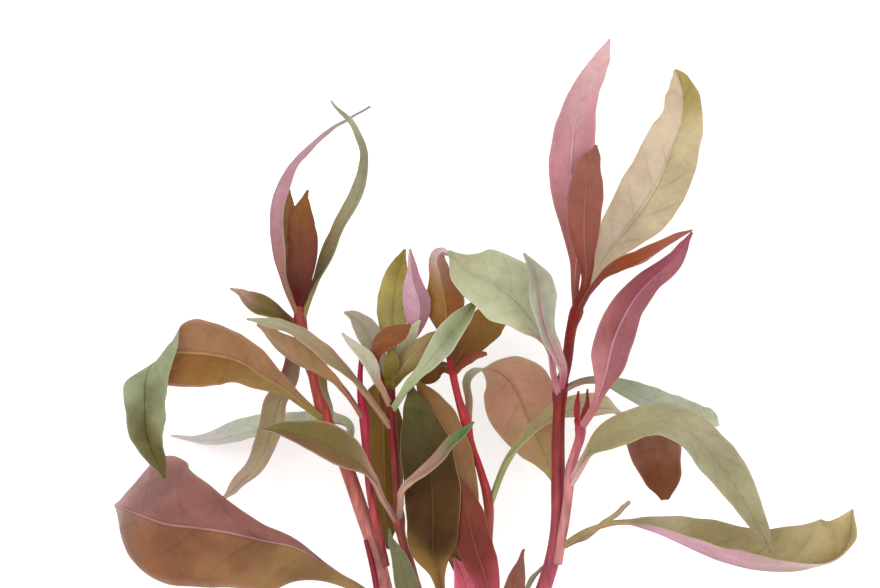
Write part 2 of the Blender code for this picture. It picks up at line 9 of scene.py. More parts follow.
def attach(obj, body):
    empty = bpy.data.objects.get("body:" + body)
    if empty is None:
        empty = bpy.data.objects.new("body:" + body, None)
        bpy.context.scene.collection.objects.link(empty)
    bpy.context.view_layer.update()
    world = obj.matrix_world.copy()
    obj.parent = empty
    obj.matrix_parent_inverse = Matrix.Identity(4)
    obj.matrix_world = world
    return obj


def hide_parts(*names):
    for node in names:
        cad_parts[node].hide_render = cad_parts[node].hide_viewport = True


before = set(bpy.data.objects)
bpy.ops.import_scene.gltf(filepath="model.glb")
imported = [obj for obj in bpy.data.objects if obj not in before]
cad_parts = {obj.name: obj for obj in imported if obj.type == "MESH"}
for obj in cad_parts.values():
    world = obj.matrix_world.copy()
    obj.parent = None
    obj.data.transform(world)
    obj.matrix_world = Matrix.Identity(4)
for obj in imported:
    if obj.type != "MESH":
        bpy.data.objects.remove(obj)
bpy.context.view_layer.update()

# The plant lies on its back on a plain white sheet and is looked at from straight above, so its own up
# direction is the picture's up. Points are in millimetres from the middle of the plant's front, with z
# counted from the sheet, and PLANT_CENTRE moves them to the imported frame.
MM = 0.001
PLANT_CENTRE = (11.0, 40.1, 0.15)
PICTURE_CENTRE = (0.0, 73.5)
FRONT_HEIGHT = 38.0
CAMERA_DISTANCE = 3667.0
SHEET_SIZE = 6.0
SHEET_DROP = 0.2
SHEET_WHITE = (0.95, 0.95, 0.95, 1.0)
SHEET_GLOW = 0.2
SKY_STRENGTH = 1.15
PURE_WHITE = (1.0, 1.0, 1.0, 1.0)
LONG_LENS = 600.0
SENSOR_WIDTH = 36.0


def place(x, y, z):
    return Vector(((x - PLANT_CENTRE[0]) * MM, (y - PLANT_CENTRE[1]) * MM, (z - PLANT_CENTRE[2]) * MM))


bpy.ops.object.select_all(action="DESELECT")
bpy.ops.mesh.primitive_plane_add(size=SHEET_SIZE, location=(0, 0, -SHEET_DROP * MM))
sheet = bpy.context.object
sheet.name = "white_sheet"
white = bpy.data.materials.new("white sheet")
white.use_nodes = True
paper = white.node_tree.nodes["Principled BSDF"]
paper.inputs["Base Color"].default_value = SHEET_WHITE
paper.inputs["Roughness"].default_value = 0.9
paper.inputs["Emission Color"].default_value = PURE_WHITE
paper.inputs["Emission Strength"].default_value = SHEET_GLOW
sheet.data.materials.append(white)

world = bpy.data.worlds.new("studio")
world.use_nodes = True
world.node_tree.nodes["Background"].inputs["Color"].default_value = PURE_WHITE
world.node_tree.nodes["Background"].inputs["Strength"].default_value = SKY_STRENGTH
bpy.context.scene.world = world

for name, spot, size, energy in (
    ("soft light above left", (-0.9, 0.5, 1.6), 1.2, 9.0),
    ("soft light above right", (0.9, 0.3, 1.6), 1.2, 6.0),
    ("soft light below", (0.1, -1.2, 1.2), 1.0, 4.0),
):
    bpy.ops.object.light_add(type="AREA", location=spot)
    lamp = bpy.context.object
    lamp.name = name
    lamp.data.size = size
    lamp.data.energy = energy
    lamp.rotation_mode = "QUATERNION"
    lamp.rotation_quaternion = (-Vector(spot)).to_track_quat("-Z", "Y")

view = place(PICTURE_CENTRE[0], PICTURE_CENTRE[1], FRONT_HEIGHT)
bpy.ops.object.camera_add(location=(view.x, view.y, view.z + CAMERA_DISTANCE * MM), rotation=(0, 0, 0))
camera = bpy.context.object
camera.data.sensor_width = SENSOR_WIDTH
camera.data.lens = LONG_LENS
camera.data.clip_start = 0.1
camera.data.clip_end = 20.0
bpy.context.scene.camera = camera
bpy.context.scene.view_settings.view_transform = "Standard"


# The shoots: round, juicy stems, crimson above and pink towards the cut, with fine grooves along them and
# a thicker joint wherever a pair of leaves grows. One ribbed length is modelled, and each shoot is a copy
# of it laid along its own line. Their feet end bluntly, just short of the stem they grow from.
SHOOT_SIDES = 20
SHOOT_RINGS = 119
GROOVE_DEPTH = 0.93
GROOVES = 5
CUT_RIM = 0.25
CUT_HOLLOW = 0.1
STREAK_SCALE = 900.0
STREAK_STRETCH = 0.12
PATCH_SCALE = 130.0
STEM_BUMP = 0.35
STUDIO_LIGHT = 1.42
WET_SHEEN = 0.026
DARKEST = 0.006
NEAR = 0.01


def shade(red, green, blue):
    """A colour given as it looks in the studio's light, 0 to 255, as the share of that light it reflects.

    The white sheen that lies over everything wet or waxy is taken off first, as the surface adds it again.
    """
    parts = [value / 255 for value in (red, green, blue)]
    seen = [p / 12.92 if p < 0.04045 else ((p + 0.055) / 1.055) ** 2.4 for p in parts]
    return tuple(max(DARKEST, part - WET_SHEEN) / STUDIO_LIGHT for part in seen)


def pick(thing, wanted):
    """Selects, in edit mode, the vertices whose place passes the test."""
    shape = bmesh.from_edit_mesh(thing.data)
    for part in (shape.verts, shape.edges, shape.faces):
        for item in part:
            item.select = False
    for vert in shape.verts:
        vert.select = wanted(vert.co / MM)
    shape.select_flush_mode()
    bmesh.update_edit_mesh(thing.data)


def only(thing):
    bpy.ops.object.select_all(action="DESELECT")
    thing.select_set(True)
    bpy.context.view_layer.objects.active = thing


bpy.ops.object.select_all(action="DESELECT")
bpy.ops.mesh.primitive_cylinder_add(
    vertices=SHOOT_SIDES, radius=MM, depth=2 * MM, rotation=(0, math.pi / 2, 0),
)
ribbed_length = bpy.context.object
bpy.ops.object.transform_apply(location=False, rotation=True, scale=False)
bpy.ops.object.mode_set(mode="EDIT")
bpy.ops.mesh.select_mode(type="VERT")
shape = bmesh.from_edit_mesh(ribbed_length.data)
for edge in shape.edges:
    edge.select = abs(edge.verts[0].co.x - edge.verts[1].co.x) > MM
bmesh.update_edit_mesh(ribbed_length.data)
bpy.ops.mesh.select_mode(type="EDGE")
bpy.ops.mesh.subdivide(number_cuts=SHOOT_RINGS)
bpy.ops.mesh.select_mode(type="VERT")
between_grooves = 2 * math.pi / GROOVES
pick(ribbed_length, lambda p: abs((math.atan2(p.z, p.y) + NEAR) % between_grooves) < 0.1)
bpy.ops.transform.resize(value=(1, GROOVE_DEPTH, GROOVE_DEPTH), center_override=(0, 0, 0))
pick(ribbed_length, lambda p: abs(p.x) > 0.999)
bpy.ops.mesh.select_mode(type="FACE")
bpy.ops.mesh.inset(thickness=CUT_RIM * MM, depth=-CUT_HOLLOW * MM)
bpy.ops.object.mode_set(mode="OBJECT")
bpy.ops.object.shade_smooth()
ribbed_length.name = "shoot as modelled"


def guide_along(name, rows):
    """The line that a shoot or a leaf is laid along, through (x, y, z, half width, roll) rows."""
    data = bpy.data.curves.new(name, "CURVE")
    data.dimensions = "3D"
    data.twist_mode = "Z_UP"
    data.resolution_u = 12
    data.use_radius = True
    data.use_stretch = True
    data.use_deform_bounds = True
    line = data.splines.new("BEZIER")
    line.radius_interpolation = line.tilt_interpolation = "CARDINAL"
    line.bezier_points.add(len(rows) - 1)
    for point, (x, y, z, half, roll) in zip(line.bezier_points, rows):
        point.co = place(x, y, z)
        point.handle_left_type = point.handle_right_type = "AUTO"
        point.radius = half
        point.tilt = math.radians(roll)
    guide = bpy.data.objects.new(name, data)
    bpy.context.scene.collection.objects.link(guide)
    return guide


def copy_of(model, name):
    piece = bpy.data.objects.new(name, model.data.copy())
    for group in model.vertex_groups:
        piece.vertex_groups.new(name=group.name)
    bpy.context.scene.collection.objects.link(piece)
    only(piece)
    return piece


def bend_along(piece, guide):
    bend = piece.modifiers.new("bend", "CURVE")
    bend.object = guide
    bend.deform_axis = "POS_X"
    bpy.ops.object.modifier_apply(modifier=bend.name)
    bpy.data.objects.remove(guide)


def skin_group(name, colours, numbers):
    """A new group of nodes for a skin, and the tools that it is drawn with."""
    group = bpy.data.node_groups.new(name, "ShaderNodeTree")
    for kind, sockets in (("Color", colours), ("Float", numbers)):
        for socket in sockets:
            group.interface.new_socket(socket, in_out="INPUT", socket_type="NodeSocket" + kind)
    for socket, kind in (("Color", "Color"), ("Roughness", "Float"), ("Height", "Float")):
        group.interface.new_socket(socket, in_out="OUTPUT", socket_type="NodeSocket" + kind)
    add, join = group.nodes.new, group.links.new

    def put(value, socket):
        if hasattr(value, "links"):
            join(value, socket)
        else:
            socket.default_value = value

    def sums(kind, first, second, third=0.0, clamp=False):
        node = add("ShaderNodeMath")
        node.operation = kind
        node.use_clamp = clamp
        for socket, value in zip(node.inputs, (first, second, third)):
            put(value, socket)
        return node.outputs[0]

    def ramp(value, low, high, at_low=0.0, at_high=1.0, kind="SMOOTHSTEP"):
        node = add("ShaderNodeMapRange")
        node.interpolation_type = kind
        for socket, number in (
            ("Value", value), ("From Min", low), ("From Max", high), ("To Min", at_low), ("To Max", at_high),
        ):
            put(number, node.inputs[socket])
        return node.outputs[0]

    def blend(share, first, second):
        node = add("ShaderNodeMix")
        node.data_type = "RGBA"
        put(share, next(s for s in node.inputs if s.name == "Factor"))
        for letter, colour in (("A", first), ("B", second)):
            put(colour, next(s for s in node.inputs if s.name == letter and s.type == "RGBA"))
        return next(s for s in node.outputs if s.type == "RGBA")

    def scaled(colour, share):
        node = add("ShaderNodeVectorMath")
        node.operation = "SCALE"
        join(colour, node.inputs[0])
        join(share, node.inputs["Scale"])
        return node.outputs[0]

    def noise(scale, detail, place_socket):
        node = add("ShaderNodeTexNoise")
        node.inputs["Scale"].default_value = scale
        node.inputs["Detail"].default_value = detail
        join(place_socket, node.inputs["Vector"])
        return node.outputs["Fac"]

    return group, add, join, sums, ramp, blend, scaled, noise


def stem_skin():
    """Colours of a shoot: two tones along the plant, darker streaks lengthwise and paler patches."""
    group, add, join, sums, ramp, blend, scaled, noise = skin_group(
        "stem skin", ("Top", "Bottom"), ("Turn", "Spread"),
    )
    given, made = add("NodeGroupInput"), add("NodeGroupOutput")
    where = add("ShaderNodeTexCoord")
    apart = add("ShaderNodeSeparateXYZ")
    join(where.outputs["Object"], apart.inputs[0])
    past = sums("SUBTRACT", apart.outputs["Y"], given.outputs["Turn"])
    share = sums("MULTIPLY_ADD", past, given.outputs["Spread"], 0.5, clamp=True)
    stretch = add("ShaderNodeMapping")
    stretch.inputs["Scale"].default_value = (1.0, STREAK_STRETCH, 1.0)
    join(where.outputs["Object"], stretch.inputs["Vector"])
    streaks = noise(STREAK_SCALE, 4.0, stretch.outputs[0])
    patches = noise(PATCH_SCALE, 2.0, where.outputs["Object"])
    darker = ramp(streaks, 0.35, 0.7, 1.3, 0.68, kind="LINEAR")
    lighter = ramp(patches, 0.35, 0.65, 0.85, 1.15, kind="LINEAR")
    tone = blend(share, given.outputs["Bottom"], given.outputs["Top"])
    join(scaled(tone, sums("MULTIPLY", darker, lighter)), made.inputs["Color"])
    join(ramp(patches, 0.0, 1.0, 0.32, 0.5, kind="LINEAR"), made.inputs["Roughness"])
    join(streaks, made.inputs["Height"])
    return group


STEM_SKIN = stem_skin()


MATT, WET = 0.08, 0.25
RELIEF_DEPTH = 0.2
FLESH_DEPTH = 0.8
FLESH_SHARE = 0.1


def finish_with(name, group, values, bump, wetness=WET):
    """A material whose colour, gloss and fine relief come from a group of nodes with its own values."""
    look = bpy.data.materials.new(name)
    look.use_nodes = True
    nodes, join = look.node_tree.nodes, look.node_tree.links.new
    surface = nodes["Principled BSDF"]
    skin = nodes.new("ShaderNodeGroup")
    skin.node_tree = group
    for socket, value in values.items():
        skin.inputs[socket].default_value = (*value, 1.0) if isinstance(value, tuple) else value
    relief = nodes.new("ShaderNodeBump")
    relief.inputs["Strength"].default_value = bump
    relief.inputs["Distance"].default_value = RELIEF_DEPTH * MM
    join(skin.outputs["Height"], relief.inputs["Height"])
    join(relief.outputs[0], surface.inputs["Normal"])
    join(skin.outputs["Color"], surface.inputs["Base Color"])
    join(skin.outputs["Roughness"], surface.inputs["Roughness"])
    surface.inputs["Specular IOR Level"].default_value = wetness
    surface.inputs["Subsurface Weight"].default_value = FLESH_SHARE
    surface.inputs["Subsurface Radius"].default_value = (1.0, 0.5, 0.4)
    surface.inputs["Subsurface Scale"].default_value = FLESH_DEPTH * MM
    return look


def shoot(name, rows, top, bottom, turn=0.0, spread=12.0):
    """A shoot through (x, y, z, radius) rows from its foot up. Its colour changes about the height turn."""
    piece = copy_of(ribbed_length, name.replace("stem", "shoot"))
    bend_along(piece, guide_along(name, [(*row, 0.0) for row in rows]))
    values = {
        "Top": shade(*top), "Bottom": shade(*bottom), "Turn": (turn - PLANT_CENTRE[1]) * MM, "Spread": spread,
    }
    piece.data.materials.append(finish_with(name.replace("_", " ") + " skin", STEM_SKIN, values, STEM_BUMP))
    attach(piece, "root")
    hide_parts(name)
    return [row[:3] for row in rows]


MAIN_SHOOT = shoot("stem_main", [
    (4, -56, 3.1, 2.9), (7, -48, 6, 2.8), (12, -36, 14, 2.6), (19, -20, 26, 2.2), (25, -3, 34, 2.0),
    (29, 12, 36, 1.9), (29.5, 27, 36, 1.8), (29.5, 37, 36, 1.7), (29.8, 45, 36, 1.6), (30, 49, 36, 2.0),
    (30.6, 52, 36, 1.5), (31.5, 55.5, 36, 1.4), (33, 65.5, 36, 1.4), (34.2, 69.3, 36.3, 1.8),
    (34.8, 72, 36.6, 1.0),
], top=(138, 54, 48), bottom=(188, 92, 106), turn=18, spread=22.0)


# The side shoots. Each leaves the main shoot low down and has its own row of joints; the youngest are thin
# as wire and end inside the folded leaves at their tip.
RIGHT_SIDE_SHOOT = shoot("stem_right_side", [
    (29.4, 6, 37, 1.2), (30.4, 12.5, 38.2, 1.2), (31, 16, 39.2, 1.3), (32, 23, 40, 1.2),
    (32.6, 29.5, 40.5, 1.4), (33.8, 34, 40.8, 1.2), (35, 38, 41, 1.3), (35, 40.3, 41, 1.4), (35, 42, 41, 0.8),
], top=(165, 68, 84), bottom=(198, 132, 130), turn=34, spread=70.0)
MIDDLE_SHOOT = shoot("stem_middle", [
    (9.3, -38, 16.5, 1.5), (9.5, -28, 23, 1.4), (10, -16, 30, 1.2), (11.5, -2, 34.5, 1.1),
    (12.2, 12, 36, 1.0), (12, 21.8, 36, 1.3), (10.2, 29, 36.5, 1.0), (7.5, 37, 37, 1.0),
    (6.5, 41.5, 37, 1.4), (4.7, 47, 36.5, 1.0), (2.8, 55.5, 35, 1.0), (2.4, 57.5, 34.6, 0.8),
], top=(176, 60, 66), bottom=(172, 102, 82), turn=21, spread=60.0)
CENTRE_SHOOT = shoot("stem_centre", [
    (4.6, -44, 13, 1.6), (2.5, -32, 20, 1.6), (-1.5, -15, 29, 1.6), (-6, 0, 34, 1.4), (-8.3, 8.5, 35.5, 1.3),
    (-9.8, 13.5, 36, 1.2), (-10.4, 17.4, 36, 1.7), (-10.6, 21, 36, 1.2), (-11, 30, 36, 1.2),
    (-12, 39.5, 36, 1.2), (-12.5, 50, 36, 1.3), (-12.6, 52.5, 36, 0.8),
], top=(132, 48, 42), bottom=(168, 92, 84), turn=24, spread=36.0)
LEFT_SHOOT = shoot("stem_left", [
    (1.2, -49, 6, 2.1), (-3, -38, 12, 2.1), (-8, -22, 22, 2.0), (-12.8, -4, 30, 1.9), (-16.4, 9.8, 34, 1.9),
    (-18.9, 17, 35, 1.9), (-23.6, 30.5, 36, 1.8), (-28.2, 41.4, 36, 1.6), (-29.4, 44.6, 36, 1.9),
    (-30.6, 48, 36, 1.4), (-32, 54, 35.5, 1.3), (-33.8, 61, 35, 1.2), (-35, 67, 34.5, 1.7),
    (-35.2, 72, 34.5, 1.1),
], top=(166, 76, 68), bottom=(206, 138, 128), turn=22, spread=34.0)
LEFT_THIN_SHOOT = shoot("stem_left_thin", [
    (-13.4, 5.5, 35.3, 0.9), (-15, 12, 37.5, 1.0), (-17.2, 22, 38.5, 1.0), (-18.5, 34, 38, 0.9),
    (-19, 42.5, 37, 1.3), (-20, 50, 36, 0.8), (-19.5, 60, 35.5, 0.6),
], top=(185, 60, 78), bottom=(160, 85, 78), turn=22, spread=25.0)
LEFT_LOW_SHOOT = shoot("stem_left_shoot", [
    (-12, -12, 28.8, 1.0), (-15, -4, 34, 0.8), (-17, 6, 37.6, 0.8), (-18.6, 12, 38.4, 0.6),
], top=(130, 40, 55), bottom=(150, 60, 70), turn=2, spread=25.0)


# The blades: thin and limp, with a sunken midrib that stands out as a thick rib underneath, seven or eight
# curved side veins a side, and a short fleshy stalk. One blade is modelled, two millimetres square, and each
# leaf is a copy of it, folded along its rib and drawn out along its own line.
BLADE_ROWS = 40
BLADE_COLUMNS = 12
RIB_SIDES = ((1, 0.42), (2, 0.85))
VEIN_EVERY = 5
VEIN_DEPTH = 0.022
RIB_DEPTH = 0.05
VEIN_SWEEP = 0.28
STALK_THICKNESS = 1.1
STALK_HALF = 1.35
FOOT_DROP = 1.8
LENGTH_ABOVE = 30.0
QUARTER_CIRCLE_HANDLE = 0.5523
THINNEST_SHARE = 0.3
RIPPLE_SIZE = 8.0
BLADE_BUMP = 0.4
BLOTCH_SCALE = 90.0
GRAIN_SCALE = 650.0
CELL_SCALE = 900.0
COLOUR_DRIFT = 0.35

bpy.ops.object.select_all(action="DESELECT")
bpy.ops.mesh.primitive_grid_add(
    x_subdivisions=BLADE_ROWS, y_subdivisions=BLADE_COLUMNS, size=2 * MM, calc_uvs=True,
)
flat_blade = bpy.context.object
flat_blade.name = "blade as modelled"
row_step = 2.0 / BLADE_ROWS
column_step = 2.0 / BLADE_COLUMNS
bpy.ops.object.mode_set(mode="EDIT")
bpy.ops.mesh.select_mode(type="VERT")
for step, share in RIB_SIDES:
    pick(flat_blade, lambda p: abs(abs(p.y) - step * column_step) < NEAR)
    bpy.ops.transform.resize(value=(1, share, 1), center_override=(0, 0, 0))
pick(flat_blade, lambda p: abs(p.y) < NEAR)
bpy.ops.transform.translate(value=(0, 0, -RIB_DEPTH * MM))
for row in range(VEIN_EVERY, BLADE_ROWS - 1, VEIN_EVERY):
    pick(flat_blade, lambda p: abs(p.x + 1 - row * row_step) < NEAR and 0.1 < abs(p.y) < 0.99)
    bpy.ops.transform.translate(value=(0, 0, -VEIN_DEPTH * MM))
weight = bpy.context.scene.tool_settings
for group, share, wanted in (
    ("thick", 0.3, lambda p: abs(p.y) < 0.08 and p.x < 0.6),
    ("thick", 0.7, lambda p: -0.93 < p.x < -0.85),
    ("thick", 1.0, lambda p: p.x <= -0.93),
    ("loose", 0.5, lambda p: abs(p.y) > 0.25 and -0.7 < p.x < 0.9),
    ("loose", 1.0, lambda p: abs(p.y) > 0.6 and -0.6 < p.x < 0.8),
):
    if group not in flat_blade.vertex_groups:
        flat_blade.vertex_groups.new(name=group)
    flat_blade.vertex_groups.active = flat_blade.vertex_groups[group]
    weight.vertex_group_weight = share
    pick(flat_blade, wanted)
    bpy.ops.object.vertex_group_assign()
bpy.ops.object.mode_set(mode="OBJECT")
for vert in flat_blade.data.vertices:
    vert.co.x += VEIN_SWEEP * abs(vert.co.y) * (1 - (vert.co.x / MM) ** 2)
bpy.ops.object.shade_smooth()

ripple = bpy.data.textures.new("slack of a limp blade", "CLOUDS")
ripple.cloud_type = "COLOR"
ripple.noise_scale = RIPPLE_SIZE * MM
ripple.noise_depth = 2


def blade_colours():
    """Colours and relief of one side of a blade, along its length and out from its rib, and painted shade
    along its veins.
    """
    group, add, join, sums, ramp, blend, scaled, noise = skin_group(
        "blade colours", ("Stalk", "Foot", "Middle", "Tip", "Rib", "Edge", "Half"),
        ("Half Share", "Edge Share", "Rib Share", "Vein Shade Share", "Blotches", "Stalk End", "Rib Width"),
    )
    given, made = add("NodeGroupInput"), add("NodeGroupOutput")
    where = add("ShaderNodeTexCoord")
    apart = add("ShaderNodeSeparateXYZ")
    join(where.outputs["UV"], apart.inputs[0])
    along, across = apart.outputs["X"], apart.outputs["Y"]
    wander = noise(BLOTCH_SCALE, 2.0, where.outputs["Object"])
    fine = noise(GRAIN_SCALE, 3.0, where.outputs["Object"])
    off_rib = sums("ABSOLUTE", sums("MULTIPLY_ADD", across, 2.0, -1.0), 0.0)
    drift = sums("MULTIPLY_ADD", sums("SUBTRACT", wander, 0.5), COLOUR_DRIFT, along)
    colour = blend(ramp(drift, 0.12, 0.5), given.outputs["Foot"], given.outputs["Middle"])
    colour = blend(ramp(drift, 0.5, 0.95), colour, given.outputs["Tip"])
    one_half = sums("MULTIPLY", ramp(across, 0.47, 0.55), given.outputs["Half Share"])
    colour = blend(one_half, colour, given.outputs["Half"])
    # The dark lines along the side veins and down both flanks of the rib are painted shade, the shade of the
    # creases beside the veins.
    veins = sums("PINGPONG", sums("MULTIPLY", along, BLADE_ROWS / VEIN_EVERY), 0.5)
    vein_shade_line = sums("MULTIPLY", ramp(veins, 0.0, 0.09, 1.0, 0.0), ramp(off_rib, 0.7, 0.95, 1.0, 0.0))
    net = add("ShaderNodeTexVoronoi")
    net.feature = "DISTANCE_TO_EDGE"
    net.inputs["Scale"].default_value = CELL_SCALE
    join(where.outputs["Object"], net.inputs["Vector"])
    mesh_line = ramp(net.outputs["Distance"], 0.0, 0.12, 1.0, 0.0)
    colour = blend(sums("MULTIPLY", mesh_line, 0.05), colour, given.outputs["Rib"])
    rib_width = sums("MULTIPLY", given.outputs["Rib Width"], ramp(along, 0.3, 1.0, 1.0, 0.4))
    past_rib = sums("DIVIDE", off_rib, rib_width)
    rib_line = sums("MULTIPLY", ramp(past_rib, 0.5, 1.1, 1.0, 0.0), ramp(along, 0.55, 1.0, 1.0, 0.15))
    rib_flank_shade = sums("MULTIPLY", ramp(past_rib, 0.8, 1.2), ramp(past_rib, 1.3, 2.6, 1.0, 0.0))
    vein_shade_line = sums("MULTIPLY", vein_shade_line, ramp(wander, 0.35, 0.6, 0.25, 0.8))
    # shadow is that painted shade, as strong as the vein share asks.
    shadow = sums("MULTIPLY", sums("MAXIMUM", vein_shade_line, rib_flank_shade), given.outputs["Vein Shade Share"])
    colour = blend(sums("MULTIPLY", rib_line, given.outputs["Rib Share"]), colour, given.outputs["Rib"])
    past_edge = ramp(sums("MULTIPLY_ADD", wander, 0.15, off_rib), 0.92, 1.06)
    edge_line = sums("MULTIPLY", past_edge, given.outputs["Edge Share"])
    colour = blend(edge_line, colour, given.outputs["Edge"])
    past_stalk = sums("DIVIDE", along, sums("MAXIMUM", given.outputs["Stalk End"], 0.03))
    colour = blend(ramp(past_stalk, 0.5, 1.25, 1.0, 0.0), colour, given.outputs["Stalk"])
    patch = ramp(wander, 0.35, 0.68, 1.0, -1.0)
    grain = ramp(fine, 0.3, 0.7, 1.0, -1.0)
    light = sums("MULTIPLY_ADD", patch, given.outputs["Blotches"], sums("MULTIPLY_ADD", grain, 0.05, 1.0))
    light = sums("MULTIPLY", light, sums("SUBTRACT", 1.0, shadow))
    join(scaled(colour, light), made.inputs["Color"])
    join(ramp(wander, 0.3, 0.7, 0.38, 0.55), made.inputs["Roughness"])
    skin_relief = sums("SUBTRACT", sums("MULTIPLY", fine, 0.5), sums("MULTIPLY", mesh_line, 0.6))
    join(skin_relief, made.inputs["Height"])
    return group


BLADE_COLOURS = blade_colours()


# The vein share is how dark the painted shade along the veins and beside the rib is.
def side_look(name, stalk_end, stalk, foot, middle, tip, rib, edge, half=None, half_share=0.0, edge_share=0.3,
              rib_share=0.6, vein_share=0.16, blotches=0.1, rib_width=0.09, wetness=WET):
    values = {
        "Rib Width": rib_width,
        "Stalk End": stalk_end,
        "Stalk": shade(*stalk), "Foot": shade(*foot), "Middle": shade(*middle), "Tip": shade(*tip),
        "Rib": shade(*rib), "Edge": shade(*edge), "Half": shade(*(half or middle)), "Half Share": half_share,
        "Edge Share": edge_share, "Rib Share": rib_share, "Vein Shade Share": vein_share, "Blotches": blotches,
    }
    return finish_with(name, BLADE_COLOURS, values, BLADE_BUMP, wetness)


def grown_from(stem_points, first):
    """The point inside the stem that a stalk grows from, a little below the nearest to its first row."""
    here = Vector(first[:3])
    best, up = None, None
    for start, end in zip(stem_points, stem_points[1:]):
        point, share = intersect_point_line(here, Vector(start), Vector(end))
        point = Vector(start).lerp(Vector(end), min(1.0, max(0.0, share)))
        if best is None or (point - here).length < (best - here).length:
            best, up = point, (Vector(end) - Vector(start)).normalized()
    return (*(best - up * FOOT_DROP), first[3], first[4])


def stalk_share(rows):
    """How much of the leaf's length is its stalk, which ends where the blade gets wider than STALK_HALF."""
    steps = [(Vector(end[:3]) - Vector(start[:3])).length for start, end in zip(rows, rows[1:])]
    stalk = 0.0
    for step, start, end in zip(steps, rows, rows[1:]):
        if end[3] > STALK_HALF:
            stalk += step * max(0.0, STALK_HALF - start[3]) / (end[3] - start[3])
            break
        stalk += step
    return stalk / sum(steps)


def fold_over_line(name, start, heading, straight, radius):
    """A line that runs straight, turns right back over itself in a half circle and runs on above itself."""
    data = bpy.data.curves.new(name, "CURVE")
    data.dimensions = "3D"
    data.twist_mode = "Z_UP"
    data.resolution_u = 24
    data.use_radius = False
    line = data.splines.new("BEZIER")
    line.bezier_points.add(4)
    back = straight - LENGTH_ABOVE
    for point, (x, y), (along, up) in zip(
        line.bezier_points,
        ((0, 0), (straight, 0), (straight + radius, radius), (straight, 2 * radius), (back, 2 * radius)),
        ((1, 0), (1, 0), (0, 1), (-1, 0), (-1, 0)),
    ):
        reach = QUARTER_CIRCLE_HANDLE * radius
        point.handle_left_type = point.handle_right_type = "FREE"
        point.co = (x * MM, y * MM, 0)
        point.handle_left = ((x - along * reach) * MM, (y - up * reach) * MM, 0)
        point.handle_right = ((x + along * reach) * MM, (y + up * reach) * MM, 0)
    guide = bpy.data.objects.new(name, data)
    guide.location = place(*start)
    guide.rotation_euler = (math.radians(90), 0, math.radians(heading))
    bpy.context.scene.collection.objects.link(guide)
    bpy.context.view_layer.update()
    return guide


def tones(foot, middle, tip, rib, edge, stalk=(168, 125, 95), **more):
    return dict(foot=foot, middle=middle, tip=tip, rib=rib, edge=edge, stalk=stalk, **more)


OLIVE_BACK = tones((140, 130, 90), (150, 145, 105), (150, 145, 105), (175, 165, 125), (165, 160, 125))
ROSE_BACK = tones((175, 110, 110), (180, 125, 125), (180, 130, 125), (200, 150, 150), (195, 140, 145))
GREEN_BACK = tones((165, 170, 130), (175, 182, 148), (170, 178, 140), (195, 198, 165), (185, 190, 160))


def blade(name, stem_points, fold, rows, top=OLIVE_BACK, under=ROSE_BACK, slack=1.6, sway=(0.0, 0.0),
          fine=1, curl=None):
    """A leaf through (x, y, z, half width, roll) rows, with the colours of its upper side and its underside.

    At roll 0 its upper side faces up from the sheet, and at 180 its underside does. A curl line then folds
    the blade over, across its length.
    """
    piece = copy_of(flat_blade, name.replace("leaf", "blade"))
    lean = math.radians(fold)
    rows = [grown_from(stem_points, rows[0]), *rows[1:]]
    stalk = stalk_share(rows)
    bpy.ops.object.mode_set(mode="EDIT")
    pick(piece, lambda p: abs(p.y) < NEAR)
    bpy.ops.transform.translate(
        value=(0, 0, -math.sin(lean) * MM), use_proportional_edit=True, proportional_edit_falloff="LINEAR",
        proportional_size=MM,
    )
    bpy.ops.mesh.select_all(action="SELECT")
    bpy.ops.transform.resize(value=(1, math.cos(lean), 1), center_override=(0, 0, 0))
    if curl:
        bpy.ops.mesh.subdivide(number_cuts=1)
    bpy.ops.object.mode_set(mode="OBJECT")
    for vert in piece.data.vertices:
        along = (vert.co.x / MM + 1) / 2
        vert.co.y += (sway[0] + (sway[1] - sway[0]) * along) * abs(vert.co.y)
        if along < stalk:
            piece.vertex_groups["thick"].add([vert.index], 1.0, "REPLACE")
    bend_along(piece, guide_along(name, rows))
    if curl:
        bend_along(piece, curl)
    if slack:
        limp = piece.modifiers.new("limp", "DISPLACE")
        limp.texture = ripple
        limp.texture_coords = "LOCAL"
        limp.direction = "RGB_TO_XYZ"
        limp.vertex_group = "loose"
        limp.strength = slack * MM
        bpy.ops.object.modifier_apply(modifier=limp.name)
    wall = piece.modifiers.new("thickness", "SOLIDIFY")
    wall.thickness = STALK_THICKNESS * MM
    wall.offset = 0.0
    wall.vertex_group = "thick"
    wall.thickness_vertex_group = THINNEST_SHARE
    wall.material_offset = 1
    round_off = piece.modifiers.new("rounding", "SUBSURF")
    round_off.levels = round_off.render_levels = fine
    piece.data.materials.append(side_look(name.replace("_", " ") + " upper side", stalk, **top))
    piece.data.materials.append(side_look(name.replace("_", " ") + " underside", stalk, **under))
    bpy.ops.object.modifier_apply(modifier=wall.name)
    bpy.ops.object.modifier_apply(modifier=round_off.name)
    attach(piece, "root")
    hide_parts(name)


